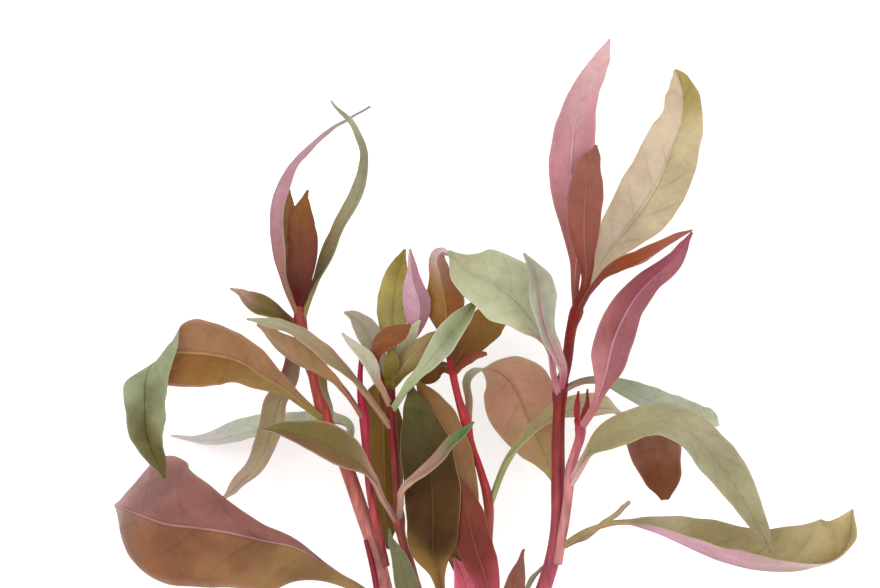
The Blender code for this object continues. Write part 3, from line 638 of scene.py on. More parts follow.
# The left shoot's top: two long leaves that curl together at their tips like a pair of horns, with the two
# youngest, still folded and brown, between them, and below them a pair of broader leaves that hang out left.
blade("leaf_left_whip", LEFT_SHOOT, 25, [
    (-36.5, 69, 35, 0.8, 110), (-38.6, 76, 36.5, 1.2, 115), (-40.1, 83, 37.5, 3.3, 118),
    (-40.6, 90, 38, 4.0, 120), (-40, 98, 37.5, 3.6, 120), (-36.6, 105.3, 36, 2.4, 120),
    (-32.5, 110, 34, 1.6, 120), (-27.2, 114.6, 32, 0.8, 130), (-17.3, 120.5, 30, 0.3, 150),
], top=tones((150, 140, 110), (160, 150, 125), (160, 150, 130), (190, 180, 160), (190, 165, 165)),
   under=tones((165, 118, 105), (188, 142, 152), (178, 165, 158), (172, 128, 138), (200, 165, 172),
      stalk=(165, 120, 110)))
blade("leaf_left_olive", LEFT_SHOOT, 25, [
    (-33.6, 67.6, 36, 0.8, -60), (-31.8, 75.3, 36.5, 1.1, -60), (-28.9, 82, 37, 3.1, -58),
    (-25.8, 89.5, 37.5, 3.4, -55), (-20.9, 99.3, 37.5, 3.1, -55), (-19.2, 106, 37, 2.5, -55),
    (-20.7, 113.5, 36, 1.7, -55), (-27.5, 122, 34, 0.3, -55),
], top=tones((140, 118, 80), (154, 148, 118), (170, 168, 138), (125, 122, 88), (165, 165, 135),
      stalk=(150, 135, 95), blotches=0.22),
   under=tones((185, 140, 130), (180, 155, 135), (175, 165, 145), (200, 175, 160), (200, 170, 160)))
blade("leaf_left_young", LEFT_SHOOT, 20, [
    (-35.1, 71.7, 36.0, 0.9, 175), (-34.6, 76.5, 38, 2.8, 175), (-34.4, 84, 39.5, 4.1, 175),
    (-34.4, 92, 40, 3.4, 175), (-33.9, 96.5, 39.5, 1.7, 175), (-33, 99.5, 39, 0.3, 175),
], under=tones((102, 48, 42), (120, 72, 42), (140, 92, 50), (102, 58, 40), (122, 76, 46),
      stalk=(125, 48, 50)))
blade("leaf_left_young_back", LEFT_SHOOT, 20, [
    (-35.6, 71.9, 32.8, 0.7, 0), (-37, 78, 31.5, 2.2, 0), (-37.3, 86, 30.5, 2.8, 0), (-37.5, 94, 30, 1.6, 0),
    (-37.8, 99.8, 30, 0.3, 0),
], top=tones((124, 70, 52), (162, 120, 82), (162, 120, 80), (135, 90, 62), (150, 105, 75),
      stalk=(125, 48, 50)))
blade("leaf_left_hooked", LEFT_SHOOT, 25, [
    (-37, 66.6, 35.5, 0.8, 60), (-39.5, 68.5, 37, 2.0, 50), (-43, 70.3, 38.5, 3.4, 40),
    (-47, 71.8, 39.5, 3.1, 35), (-50.2, 73.8, 39.5, 1.2, 35), (-52.5, 75, 38.5, 0.3, 35),
], top=tones((92, 76, 36), (130, 112, 62), (200, 160, 140), (140, 122, 75), (165, 170, 135),
      stalk=(130, 95, 65)))
blade("leaf_left_pale", CENTRE_SHOOT, 15, [
    (-13.5, 41.5, 37.2, 0.8, 55), (-16.8, 46.5, 41.5, 0.8, 55), (-21.5, 53.0, 45, 1.6, 55),
    (-27.5, 57.9, 47, 3.2, 55), (-31.3, 61, 48, 3.2, 55), (-37.8, 65.3, 49, 3.2, 55),
    (-43, 66.6, 48.5, 2.2, 55), (-48.3, 67.3, 47.5, 0.3, 55),
], top=tones((152, 128, 95), (164, 142, 110), (172, 172, 138), (178, 162, 128), (188, 162, 138),
      stalk=(175, 140, 112)))
blade("leaf_left_under", LEFT_THIN_SHOOT, 20, [
    (-20.9, 43.6, 37.2, 0.8, 110), (-23.5, 49, 39, 1.0, 115), (-29.3, 54.3, 41, 2.6, 130),
    (-35, 58.5, 42.5, 3.8, 140), (-39.8, 62, 43, 3.2, 140), (-43.3, 64.5, 43, 1.6, 140),
    (-45.8, 66, 42.5, 0.3, 140),
], under=tones((168, 122, 85), (172, 134, 90), (188, 150, 118), (190, 150, 118), (205, 170, 150),
      stalk=(185, 118, 100)))
blade("leaf_left_hanging", LEFT_SHOOT, 20, [
    (-35.8, 64.6, 32.8, 0.8, 0), (-37, 61, 30.5, 1.0, 15), (-37, 56.5, 28, 2.6, 35),
    (-38.5, 50.8, 25, 3.2, 40), (-41.3, 45.8, 22, 3.8, 40), (-43, 39, 19.5, 4.2, 40),
    (-46.3, 31.3, 17.5, 3.4, 40), (-52.5, 24, 16, 1.6, 40), (-55, 21.8, 15.5, 0.3, 40),
], top=tones((120, 72, 62), (168, 152, 112), (214, 184, 168), (180, 145, 130), (205, 158, 160),
      stalk=(125, 60, 55), edge_share=0.6))
blade("leaf_left_strip", LEFT_SHOOT, 15, [
    (-34.4, 64.3, 32.3, 0.8, 0), (-33, 60, 29, 2.2, 0), (-31.3, 55, 27, 2.6, 0), (-30.2, 50, 27, 2.2, 0),
    (-28.6, 45, 28, 1.7, 0), (-27.4, 41.5, 29, 0.4, 0),
], top=tones((150, 140, 95), (158, 142, 92), (178, 185, 150), (185, 180, 150), (190, 175, 150),
      stalk=(150, 130, 85)))


# The left shoot's big leaves: one rises out left and curls right over, so that its brown underside shows on
# the way up and its green upper side on the way down, and the broadest lies out low with its underside up.
blade("leaf_left_curled", LEFT_SHOOT, 15, [
    (-30.4, 42.6, 36.9, 0.9, 150), (-34, 46.2, 39, 1.2, 155), (-39, 50.2, 42.5, 2.4, 160),
    (-44.5, 53.5, 46, 4.6, 168), (-50, 56.8, 50, 6.2, 175), (-56.3, 58.3, 53, 7.8, 180),
    (-64, 59, 55, 8.6, 180), (-73, 59.5, 55, 8.4, 180), (-81.9, 59.6, 55, 6.2, 180),
    (-88.2, 59.4, 55, 5.2, 180), (-93, 59.6, 55, 4.8, 180), (-98, 60.9, 55, 3.4, 180),
    (-102, 62.8, 55, 1.9, 180), (-105.4, 64.3, 55, 0.4, 180),
], top=tones((150, 145, 100), (160, 168, 132), (100, 90, 50), (128, 132, 92), (170, 175, 145), blotches=0.12),
   under=tones((152, 122, 68), (140, 92, 50), (142, 90, 54), (185, 150, 92), (190, 140, 126),
      half=(164, 122, 92), half_share=0.75, stalk=(150, 130, 70), edge_share=0.7, rib_width=0.07),
   slack=2.0, curl=fold_over_line("fold of the curled leaf", (-25.4, 15, 55), 135.4, 60, 3.5))
blade("leaf_left_low", LEFT_SHOOT, 20, [
    (-15.1, -4.2, 31.3, 0.9, 190), (-20, 0.2, 33, 0.9, 190), (-30, 6.3, 37, 2.8, 190),
    (-36.5, 9.9, 41, 6.4, 190), (-43.8, 11.2, 43.5, 9.0, 192), (-52.8, 13.2, 45, 11.4, 192),
    (-61.5, 14.4, 44.5, 14.4, 190), (-67, 14.9, 42, 15.8, 190), (-72.5, 16.5, 37, 15.2, 188),
    (-76.9, 18.2, 30, 12.0, 186), (-79.3, 19.2, 20, 7.4, 184), (-80.2, 20, 10, 3.4, 182),
    (-79, 20.3, 0.9, 0.5, 180),
], under=tones((146, 114, 74), (138, 92, 64), (142, 98, 84), (200, 150, 150), (180, 125, 118),
      half=(152, 102, 98), half_share=0.8, stalk=(150, 126, 80), edge_share=0.5, rib_share=0.5,
      vein_share=0.22, blotches=0.14, rib_width=0.055),
   slack=2.2, sway=(-1.3, 1.1), fine=2)
blade("leaf_left_back", LEFT_SHOOT, 20, [
    (-20.4, 35.6, 35.5, 0.8, 65), (-22.5, 40.2, 30, 2.0, 65), (-27.5, 42.4, 24, 3.6, 65),
    (-35, 41.8, 17, 4.6, 65), (-45, 40.6, 11.5, 5.0, 60), (-52.8, 38.8, 7.5, 5.0, 60),
    (-60, 37.0, 4, 3.0, 65), (-68, 37.8, 1, 0.4, 65),
], top=tones((178, 182, 142), (198, 206, 178), (214, 206, 204), (205, 210, 182), (218, 202, 206),
      stalk=(165, 165, 125), edge_share=0.5))
blade("leaf_left_mid", CENTRE_SHOOT, 20, [
    (-12.6, 17.6, 36.6, 0.8, 40), (-14.5, 23, 42, 0.8, 40), (-18, 29.5, 45, 1.6, 35),
    (-22.5, 33.8, 47.5, 4.8, 30), (-27.5, 36.8, 49.5, 5.2, 30), (-33.8, 38.8, 50.5, 4.2, 35),
    (-38.8, 40, 50.5, 2.4, 40), (-44.3, 39.8, 49.5, 0.3, 40),
], top=tones((160, 128, 110), (118, 102, 60), (125, 115, 66), (148, 128, 90), (205, 170, 165),
      half=(138, 106, 80), half_share=0.7, stalk=(185, 140, 125), edge_share=0.5))


# The centre shoot's tuft: a dozen small leaves packed round its tip, some yellow or pink, some brown with
# age, with a long brown leaf and a big dark one hanging down over the shoot.
blade("leaf_centre_pale_tip", CENTRE_SHOOT, 20, [
    (-13.9, 46.9, 37.4, 0.8, 45), (-14.8, 51, 42, 1.0, 45), (-17, 56, 45.5, 2.8, 45),
    (-20, 59.5, 47, 2.4, 45), (-24.5, 63.8, 47, 0.3, 45),
], top=tones((188, 172, 138), (202, 196, 170), (200, 194, 172), (212, 206, 184), (218, 204, 190),
      stalk=(190, 150, 128)))
blade("leaf_centre_grey_tip", CENTRE_SHOOT, 20, [
    (-14.2, 50.8, 35.3, 0.7, 20), (-15.4, 57, 33.5, 2.4, 20), (-17.4, 63, 33, 3.6, 20),
    (-20.4, 67.0, 33, 2.6, 20), (-24, 69, 33, 0.3, 20),
], top=tones((165, 155, 125), (180, 170, 146), (172, 160, 138), (192, 182, 158), (205, 190, 172),
      stalk=(170, 140, 110)))
blade("leaf_centre_orange", CENTRE_SHOOT, 15, [
    (-14.2, 51.4, 36.6, 0.7, 150), (-16.3, 56, 40.5, 1.2, 150), (-16, 59.5, 42.5, 2.0, 150),
    (-13, 62.4, 43.5, 3.0, 150), (-10, 64.2, 43.5, 2.6, 150), (-7.3, 65.8, 43, 0.4, 150),
], under=tones((145, 66, 34), (138, 84, 36), (134, 82, 38), (160, 106, 56), (178, 58, 44),
      stalk=(165, 60, 45), edge_share=0.8))
blade("leaf_centre_brown", CENTRE_SHOOT, 20, [
    (-11.3, 51.4, 37.6, 0.7, 170), (-9.2, 55.2, 40, 2.6, 170), (-5.5, 59.2, 41, 3.0, 170),
    (-2, 62.3, 41, 1.8, 170), (1, 65, 41, 0.3, 170),
], under=tones((128, 108, 52), (165, 145, 100), (142, 106, 68), (178, 152, 105), (178, 155, 115),
      stalk=(135, 110, 60)))
blade("leaf_centre_bud", CENTRE_SHOOT, 20, [
    (-12.8, 51.6, 38.6, 0.6, 180), (-12.2, 54.6, 42.6, 2.0, 180), (-12.2, 57.4, 43.4, 2.0, 180),
    (-12.4, 59.6, 43.4, 0.6, 180),
], under=tones((125, 108, 48), (122, 106, 42), (140, 125, 65), (105, 90, 38), (180, 170, 122),
      stalk=(130, 110, 55), edge_share=0.5))
blade("leaf_centre_stub", CENTRE_SHOOT, 20, [
    (-11.9, 51.3, 36.6, 0.6, 0), (-9.5, 58, 36.8, 1.8, 0), (-7, 63.5, 37.5, 1.8, 0), (-5, 67, 37.6, 0.4, 0),
], top=tones((190, 185, 145), (210, 205, 172), (206, 200, 172), (216, 210, 186), (216, 210, 190),
      stalk=(170, 165, 120)))
blade("leaf_centre_yellow", CENTRE_SHOOT, 15, [
    (-13.0, 51.3, 34.2, 0.6, 0), (-12.5, 55.5, 31.5, 0.9, 0), (-12, 59.5, 31, 1.4, 0),
    (-11.8, 65.8, 30, 3.6, 0), (-11.5, 72, 29.5, 4.3, 0), (-10.5, 78.3, 29.5, 3.2, 0),
    (-8.8, 84.8, 29.5, 0.3, 0),
], top=tones((165, 160, 92), (186, 172, 104), (175, 152, 78), (200, 188, 125), (160, 138, 78),
      stalk=(150, 130, 80), blotches=0.18))
blade("leaf_centre_pink", CENTRE_SHOOT, 30, [
    (-11.7, 51.3, 35.4, 0.6, 180), (-9.5, 58, 33.8, 0.9, 180), (-6, 65.5, 34.5, 2.4, 185),
    (-5.6, 71, 35.5, 4.4, 188), (-6.6, 75, 35.5, 3.2, 186), (-7.2, 79, 35, 1.8, 180),
    (-7.5, 84.8, 34.5, 0.3, 180),
], under=tones((190, 130, 140), (214, 166, 178), (214, 172, 182), (230, 190, 200), (225, 185, 196),
      half=(176, 122, 138), half_share=0.8, stalk=(180, 130, 120)))
# Its dark green tip is painted shade.
blade("leaf_centre_slanting", CENTRE_SHOOT, 15, [
    (-10.6, 46, 37.2, 0.8, -20), (-8.5, 50, 42, 1.0, -20), (-5, 54.3, 45, 1.6, -20),
    (-0.8, 59.5, 47, 3.3, -20), (3, 64.5, 47.5, 3.5, -20), (6.3, 68.3, 47, 2.6, -20), (9.3, 72, 46, 0.4, -20),
], top=tones((174, 184, 136), (180, 184, 148), (106, 114, 64), (200, 204, 176), (215, 215, 195),
      stalk=(172, 182, 135), edge_share=0.5))
blade("leaf_centre_golden", CENTRE_SHOOT, 15, [
    (-13.8, 50.3, 33.2, 1.0, 180), (-15.2, 49.2, 31.3, 3.0, 180), (-15.2, 46, 30.3, 4.4, 180),
    (-14.3, 41, 30, 5.0, 180), (-14, 32, 29.5, 5.2, 180), (-13.7, 22, 29.5, 4.4, 180),
    (-13.3, 14.5, 29.5, 2.2, 180), (-13, 9.5, 29.5, 0.4, 180),
], under=tones((138, 108, 58), (142, 108, 54), (148, 122, 66), (165, 134, 74), (152, 122, 65),
      stalk=(150, 135, 62)))
# Its very dark olive and brown tones are partly the leaf's own colour and partly painted shade.
blade("leaf_centre_dark", CENTRE_SHOOT, 15, [
    (-0.2, -13.5, 31.5, 0.9, 180), (0.6, -4, 38, 1.0, 180), (-0.3, 3.3, 41, 1.8, 180),
    (-1.8, 10, 42.5, 6.2, 180), (-1.7, 17, 43.5, 7.0, 180), (-2.2, 27, 43.5, 7.2, 180),
    (-4, 37, 42.8, 6.2, 180), (-6.3, 45.8, 40.8, 3.2, 180), (-7.3, 51, 39.4, 0.4, 180),
], under=tones((142, 112, 70), (86, 64, 34), (98, 92, 64), (104, 84, 50), (105, 90, 58), stalk=(155, 116, 76),
      rib_share=0.35, blotches=0.2, wetness=MATT),
   fine=2)
blade("leaf_centre_grey_low", CENTRE_SHOOT, 20, [
    (-3.6, -7, 34.2, 0.8, 0), (-7, -3, 39, 2.4, 0), (-8.8, 2, 41.5, 3.2, 0), (-10, 7, 42, 2.4, 0),
    (-11.8, 11.5, 41.5, 1.0, 0), (-12.8, 15, 41, 0.3, 0),
], top=tones((105, 102, 74), (114, 110, 80), (118, 115, 90), (138, 134, 106), (150, 146, 124),
      stalk=(110, 105, 80)))
blade("leaf_centre_crossing", CENTRE_SHOOT, 20, [
    (-9.7, 18.9, 37.8, 0.8, -50), (-9.9, 21.2, 43.3, 0.8, -50), (-8.6, 26, 48.8, 1.0, -50),
    (-3.8, 29.8, 51, 2.1, -50), (-0.3, 32.8, 52, 2.5, -50), (2.5, 36.3, 52, 2.4, -50),
    (5.3, 38.7, 51.5, 1.6, -50), (8.5, 41.8, 50.5, 0.3, -50),
], top=tones((186, 172, 140), (160, 126, 108), (92, 132, 76), (180, 150, 128), (190, 156, 142),
      stalk=(190, 150, 130)))


# The middle shoot: a golden brown leaf that closes over its tip like a hood, others behind it, a red and a
# hot pink one low down, and two that arch over to the right and hang with their undersides showing.
blade("leaf_middle_hooded", MIDDLE_SHOOT, 20, [
    (2.7, 56.8, 35, 0.7, 180), (1.5, 63.3, 33.5, 1.6, 180), (1.5, 68.3, 33, 4.4, 180),
    (1, 73.3, 32.5, 4.9, 180), (0, 78.3, 32.5, 3.2, 180), (-0.7, 82, 33, 2.2, 180), (0.6, 84, 34.5, 1.3, 180),
    (2.2, 83.4, 36, 0.5, 180),
], top=tones((190, 140, 148), (200, 155, 162), (212, 178, 184), (205, 165, 170), (215, 185, 190)),
   under=tones((142, 94, 48), (166, 122, 66), (212, 188, 186), (180, 135, 84), (195, 150, 140),
      half=(150, 88, 62), half_share=0.6, stalk=(130, 70, 55)))
blade("leaf_middle_golden", MIDDLE_SHOOT, 15, [
    (3.9, 56.4, 33.6, 1.0, 180), (6.3, 60, 31.5, 3.2, 180), (11.4, 65.4, 30.5, 4.6, 180),
    (15.4, 67.8, 30.5, 3.5, 180), (19.8, 67.3, 30.5, 0.4, 180),
], under=tones((128, 80, 38), (146, 106, 44), (160, 128, 68), (158, 116, 64), (142, 102, 58),
      stalk=(115, 50, 42)))
blade("leaf_middle_low_brown", MIDDLE_SHOOT, 15, [
    (2.1, 55.2, 33.4, 0.8, 180), (0, 55.2, 31.5, 2.0, 180), (-3, 53.2, 30.8, 2.6, 180),
    (-5.8, 50.4, 30.5, 0.5, 180),
], under=tones((135, 85, 46), (130, 85, 48), (125, 85, 48), (155, 110, 68), (140, 95, 58),
      stalk=(140, 85, 55)))
blade("leaf_middle_small_tip", MIDDLE_SHOOT, 20, [
    (4.6, 55.6, 36.2, 0.6, 180), (6.8, 57, 37.3, 1.0, 180), (9.5, 58, 37.8, 0.8, 180),
    (11.8, 58.6, 37.8, 0.3, 180),
], under=tones((150, 106, 64), (158, 116, 72), (146, 98, 58), (165, 112, 72), (152, 102, 68),
      stalk=(150, 80, 55)))
blade("leaf_middle_behind", MIDDLE_SHOOT, 15, [
    (9.6, -2.8, 33.3, 0.8, 180), (5.5, 4.5, 35, 2.2, 180), (4.5, 14.5, 38, 5.0, 180),
    (4.0, 24.5, 39.5, 5.6, 180), (1.8, 34.5, 39.5, 6.0, 180), (-1.2, 43.3, 38.5, 5.0, 180),
    (-3.8, 48.8, 37.5, 2.4, 180), (-5.8, 51.8, 37, 0.4, 180),
], under=tones((150, 108, 68), (146, 106, 72), (142, 104, 64), (172, 136, 92), (162, 126, 78),
      stalk=(150, 110, 70)))
blade("leaf_middle_crimson", MIDDLE_SHOOT, 20, [
    (11.2, -12.5, 34.0, 0.8, 180), (12.4, -3.5, 38.6, 2.2, 180), (11.1, 3.5, 40.5, 4.2, 180),
    (9.2, 9, 41.2, 4.8, 180), (7.4, 15.8, 41.8, 4.4, 180), (6, 22, 42.0, 3.4, 180),
    (4.2, 28.5, 42.0, 0.4, 180),
], under=tones((182, 84, 98), (124, 58, 50), (120, 66, 46), (155, 84, 78), (162, 90, 90),
      stalk=(182, 84, 98)))
blade("leaf_middle_hot_pink", MIDDLE_SHOOT, 20, [
    (8.6, -18, 31.8, 0.8, 0), (7.5, -9, 36.4, 2.4, 0), (6.6, 0, 38.4, 3.3, 0), (4.9, 5, 38.6, 1.8, 0),
    (3.3, 7.6, 38.6, 0.4, 0),
], top=tones((210, 82, 118), (222, 98, 126), (210, 104, 116), (235, 145, 168), (238, 195, 208),
      stalk=(208, 82, 118), edge_share=0.5))
blade("leaf_middle_arched", MIDDLE_SHOOT, 12, [
    (8.3, 42.3, 35, 0.8, -50), (7.2, 47, 32.3, 1.0, -50), (6.8, 51.8, 29.5, 1.9, -55),
    (9.4, 55, 26.8, 3.7, -78), (14, 55.7, 23.5, 6.4, -118), (18, 52.8, 21.5, 8.8, -150),
    (20, 48.5, 20.3, 9.4, -170), (22, 42.5, 19.5, 8.8, -180), (24.6, 36.5, 19.5, 6.4, -180),
    (27.3, 30.8, 19.5, 3.0, -180), (28.3, 26.5, 19.5, 0.4, -180),
], top=tones((168, 164, 116), (172, 168, 138), (176, 180, 146), (195, 198, 170), (210, 210, 190)),
   under=tones((196, 170, 138), (204, 152, 126), (190, 166, 112), (122, 82, 60), (205, 170, 150),
      stalk=(165, 150, 110), rib_share=0.5), fine=2)
blade("leaf_middle_passing", MIDDLE_SHOOT, 15, [
    (14.4, 22.7, 36.2, 0.8, -60), (14.6, 27, 34.5, 0.9, -60), (16.8, 32, 32, 1.2, -60),
    (20.5, 37, 30.5, 1.9, -60), (25, 41.5, 28.5, 3.2, -60), (31, 44.8, 26.5, 4.6, -58),
    (38, 45.9, 24.5, 5.8, -58), (45, 45.4, 22, 7.0, -80), (50.5, 41.8, 20, 7.6, -130),
    (53.2, 36.5, 19, 7.4, -165), (55, 30.5, 18.5, 6.0, -178), (56.2, 25.2, 18.5, 4.1, -180),
    (56.6, 21.6, 18.5, 1.0, -180),
], top=tones((170, 166, 108), (196, 178, 136), (196, 188, 156), (175, 105, 90), (220, 196, 172),
      stalk=(168, 166, 112), edge_share=0.5),
   under=tones((200, 172, 150), (182, 138, 124), (128, 78, 34), (160, 104, 62), (185, 120, 110),
      stalk=(165, 165, 110), edge_share=0.5),
   fine=2)


# The right shoot's crown: two tall leaves at the very top, one pink, one straw green with a golden tip, a
# short brown red one in front of them and a narrow one to the right, with the big magenta leaf below.
blade("leaf_right_pink_top", MAIN_SHOOT, 20, [
    (33.7, 71.0, 35.8, 0.9, 175), (33.8, 75.8, 36, 1.0, 175), (34.2, 83.3, 36.5, 2.2, 175),
    (33.4, 93.3, 37, 4.4, 175), (32.8, 103.8, 37.5, 5.6, 175), (33.2, 110.5, 37.5, 6.0, 175),
    (33.9, 116.5, 37.5, 5.4, 175), (35.8, 123, 37, 4.3, 175), (38.3, 128.3, 36.5, 3.3, 175),
    (40.8, 133.3, 36, 1.9, 175), (42.5, 137.3, 35.5, 0.3, 175),
], under=tones((168, 102, 92), (200, 138, 146), (222, 180, 180), (222, 172, 180), (226, 186, 192),
      stalk=(165, 100, 88)),
   slack=1.8)
blade("leaf_right_brown_red", MAIN_SHOOT, 20, [
    (35.5, 70.6, 38.2, 0.9, 180), (36.5, 78, 41, 1.3, 180), (36, 86, 43, 3.4, 180), (36, 93.3, 44, 4.8, 180),
    (36.3, 98.5, 44, 5.0, 180), (37, 104.5, 43.5, 3.6, 180), (38.5, 108.5, 43, 1.7, 180),
    (39, 110.8, 42.5, 0.3, 180),
], under=tones((142, 74, 62), (150, 90, 76), (155, 96, 84), (172, 116, 104), (185, 130, 138),
      stalk=(140, 60, 52)))
blade("leaf_right_tall", MAIN_SHOOT, 15, [
    (36.2, 69.9, 35, 0.9, -15), (37.8, 76, 34, 1.2, -15), (41.5, 83.5, 32, 3.0, -15),
    (46.3, 89.8, 29.5, 6.4, -12), (51.3, 96.4, 26, 8.2, -10), (55.4, 103.4, 21.5, 8.2, -8),
    (58.2, 110.5, 16.5, 7.2, -6), (60.8, 117.3, 11, 5.6, -5), (61.2, 124.3, 6, 4.2, -5),
    (60.3, 128, 3, 2.4, -5), (59.2, 130.3, 0.55, 0.4, -5),
], top=tones((222, 198, 170), (206, 190, 152), (180, 158, 92), (226, 210, 180), (205, 185, 140),
      half=(226, 202, 180), half_share=0.7, stalk=(200, 160, 135), vein_share=0.2),
   slack=2.0, fine=2)
blade("leaf_right_narrow", MAIN_SHOOT, 20, [
    (37.2, 69.7, 35.8, 0.8, -118), (39.5, 77.4, 41.5, 1.4, -118), (45, 80.8, 45, 4.0, -120),
    (49.5, 82.9, 46.5, 4.2, -120), (53.8, 85.3, 47.5, 3.0, -120), (58.8, 87.8, 48, 1.7, -120),
    (63, 89.5, 48, 0.3, -120),
], under=tones((132, 58, 44), (154, 80, 54), (170, 98, 90), (175, 106, 80), (185, 95, 95),
      stalk=(140, 62, 52)))
blade("leaf_right_magenta", RIGHT_SIDE_SHOOT, 25, [
    (37.2, 41.5, 41.6, 0.9, 182), (38.6, 45.5, 44, 1.1, 182), (40.1, 49.6, 45.5, 1.7, 182),
    (41.6, 55, 46.5, 4.4, 182), (43, 61.2, 47, 5.6, 182), (45.4, 67, 47, 5.4, 182),
    (48.4, 72.2, 46.5, 4.5, 182), (52.2, 76.6, 45.5, 3.5, 182), (57.5, 81.3, 44, 2.5, 182),
    (60.8, 85.5, 43, 1.3, 182), (63, 89, 42.5, 0.3, 182),
], under=tones((196, 130, 134), (150, 82, 84), (170, 88, 112), (205, 155, 168), (208, 155, 172),
      half=(160, 98, 104), half_share=0.85, stalk=(195, 122, 124)), slack=1.8)


# The right shoot's lower leaves: one arches over to the right, its partner passes behind, a long one is
# folded like a boat, and two rise to the left over the middle, one of them folded sharply on a pink rib.
blade("leaf_right_arching", RIGHT_SIDE_SHOOT, 15, [
    (33.2, 27.2, 43.6, 1.1, -50), (35.4, 31.4, 45.2, 1.3, -50), (37.4, 34.8, 46.6, 1.8, -48),
    (39.4, 37, 48, 4.0, -44), (42.3, 38.6, 49.6, 5.1, -40), (46.5, 40.1, 52, 5.3, -38),
    (51.5, 42, 54, 5.2, -38), (57, 42.2, 55.5, 5.6, -36), (62.5, 39.6, 56.5, 5.7, -34),
    (67.6, 34.6, 57, 5.8, -30), (72.4, 28.5, 57, 5.4, -26), (76.5, 21.3, 57, 4.2, -22),
    (79.8, 15, 57, 2.3, -20), (82.3, 9, 57, 0.3, -20),
], top=tones((160, 150, 106), (172, 166, 132), (158, 148, 112), (186, 178, 146), (196, 192, 164),
      stalk=(215, 170, 162)),
   slack=2.0, fine=2)
blade("leaf_right_back", MAIN_SHOOT, 15, [
    (32.9, 50.3, 36, 0.8, -45), (34.8, 51.6, 36, 0.8, -45), (38.5, 52.2, 35.5, 1.1, -45),
    (44, 51, 35, 2.6, -45), (50, 48.4, 34, 4.2, -45), (57, 45.6, 30, 4.7, -45), (63.5, 43.8, 21, 4.3, -45),
    (67.8, 42.8, 11, 3.2, -45), (69.8, 42.2, 3.4, 2.0, -45), (70.2, 42, 0.9, 0.5, -45),
], top=tones((158, 162, 126), (184, 190, 166), (168, 172, 130), (196, 200, 172), (190, 192, 165),
      stalk=(170, 145, 125)))
blade("leaf_right_boat", MAIN_SHOOT, 50, [
    (31.2, 9.6, 37.6, 0.8, -70), (33.2, 12.8, 40, 0.9, -70), (36.5, 14.8, 42, 0.9, -68),
    (40.5, 16, 44, 0.9, -66), (45, 17.2, 46, 1.2, -66), (50.5, 17.2, 48, 3.0, -64), (57, 16.6, 50, 5.6, -62),
    (66, 14.8, 52, 8.6, -62), (75, 12.6, 53.5, 10.0, -62), (84, 11.4, 54.5, 10.8, -56),
    (91.5, 11.5, 55, 11.3, -46), (98.4, 13.4, 55.5, 10.0, -38), (102.8, 20, 55, 0.4, -30),
], top=tones((184, 180, 152), (176, 162, 116), (212, 194, 146), (192, 176, 134), (194, 168, 140),
      stalk=(168, 152, 100)),
   under=tones((195, 135, 150), (198, 148, 160), (188, 162, 138), (218, 172, 182), (200, 160, 160)),
   slack=2.0, fine=2)
blade("leaf_right_sage", MAIN_SHOOT, 12, [
    (28.6, 49.2, 38.2, 0.8, 10), (28.3, 54, 42, 0.8, 10), (27, 60.4, 45.4, 1.2, 10),
    (23.5, 66.6, 48, 4.5, 10), (18.8, 72.6, 49.5, 8.3, 10), (13.2, 76.7, 49.5, 8.1, 10),
    (7, 79.4, 48.5, 5.7, 10), (2, 84.3, 47, 0.4, 10),
], top=tones((202, 200, 166), (196, 198, 162), (172, 170, 136), (212, 212, 186), (198, 204, 174),
      stalk=(200, 130, 140)),
   slack=2.0, fine=2)
blade("leaf_right_folded", MAIN_SHOOT, 30, [
    (31.6, 50.2, 38.6, 0.8, 35), (30.8, 54, 44, 1.5, 35), (28.8, 59.5, 48.5, 2.4, 35),
    (26.9, 64.5, 52, 3.0, 35), (26.0, 69.5, 54, 4.1, 35), (25.7, 74, 55, 4.4, 35), (24.1, 79.5, 55, 2.6, 35),
    (20.8, 83.8, 54, 0.3, 35),
], top=tones((195, 150, 150), (184, 182, 162), (172, 170, 145), (198, 118, 136), (202, 200, 180),
      stalk=(205, 110, 130), rib_share=0.9, rib_width=0.32))


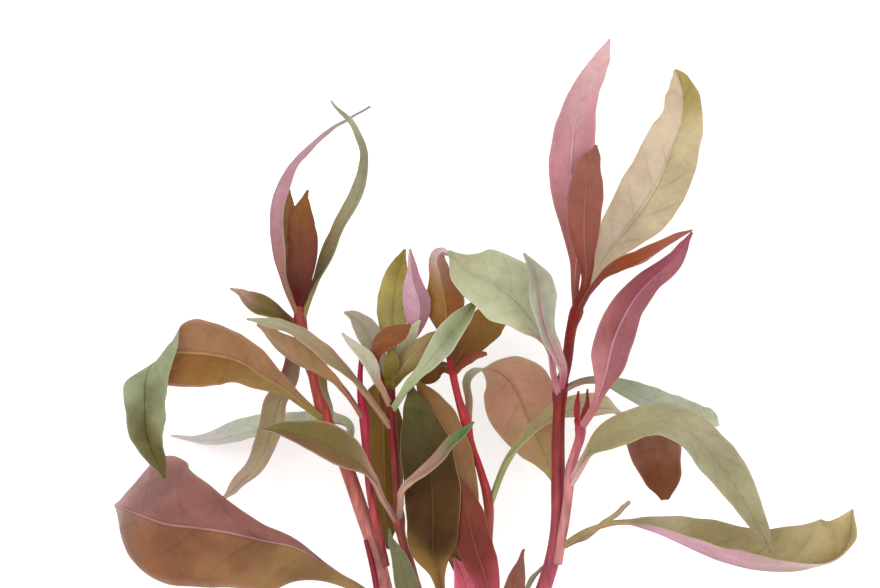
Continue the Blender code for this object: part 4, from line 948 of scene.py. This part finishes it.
# The small young growth low down and at the joints: folded tips, a dry spike and two crimson buds.
blade("leaf_right_maroon_tip", MAIN_SHOOT, 20, [
    (17.8, -17.5, 30.5, 0.8, 180), (18.0, -8, 37, 3.4, 180), (18.6, 0, 39, 2.9, 180),
    (19.8, 4.8, 39.5, 1.6, 180), (21, 9.8, 39.5, 0.3, 180),
], under=tones((142, 78, 66), (146, 92, 78), (142, 92, 76), (170, 112, 96), (162, 98, 86),
      stalk=(142, 74, 62)))
blade("leaf_right_thin_grey", MAIN_SHOOT, 15, [
    (25.6, 8.2, 35, 0.6, 85), (24.3, 4, 34, 1.6, 85), (21.5, 0, 33, 2.4, 85), (18.5, -4.5, 32, 1.6, 85),
    (16, -8.5, 31, 0.3, 85),
], top=GREEN_BACK,
   under=tones((160, 150, 130), (165, 155, 140), (165, 155, 140), (185, 175, 160), (185, 170, 160),
      stalk=(165, 130, 115)))
blade("leaf_right_spike", MAIN_SHOOT, 15, [
    (31.3, 10, 34.8, 0.5, -80), (36.5, 13.2, 36.5, 0.5, -80), (42, 17, 39, 0.8, -80),
    (45, 19.6, 40.5, 0.8, -80), (47.5, 21.8, 41, 0.3, -80),
], top=tones((180, 165, 165), (190, 172, 175), (195, 175, 180), (205, 190, 190), (200, 185, 185),
      stalk=(178, 160, 120)))
for bud, rows in (
    ("leaf_right_bud_a", [
        (34.6, 41.1, 40.5, 0.7, 120), (34.2, 44.4, 41, 1.8, 120), (34.7, 49.3, 41, 0.3, 120),
    ]),
    ("leaf_right_bud_b", [
        (35.6, 41.2, 39.2, 0.7, -120), (36.4, 44.4, 39.2, 1.8, -120), (36.9, 49.8, 39.2, 0.3, -120),
    ]),
):
    blade(bud, RIGHT_SIDE_SHOOT, 20, rows, under=tones((150, 40, 58), (162, 46, 64),
      (150, 50, 60), (180, 90, 100), (185, 90, 105), stalk=(160, 45, 62)))


# The modelled originals have given their copies, so they go.
for model in (ribbed_length, flat_blade):
    bpy.data.objects.remove(model)
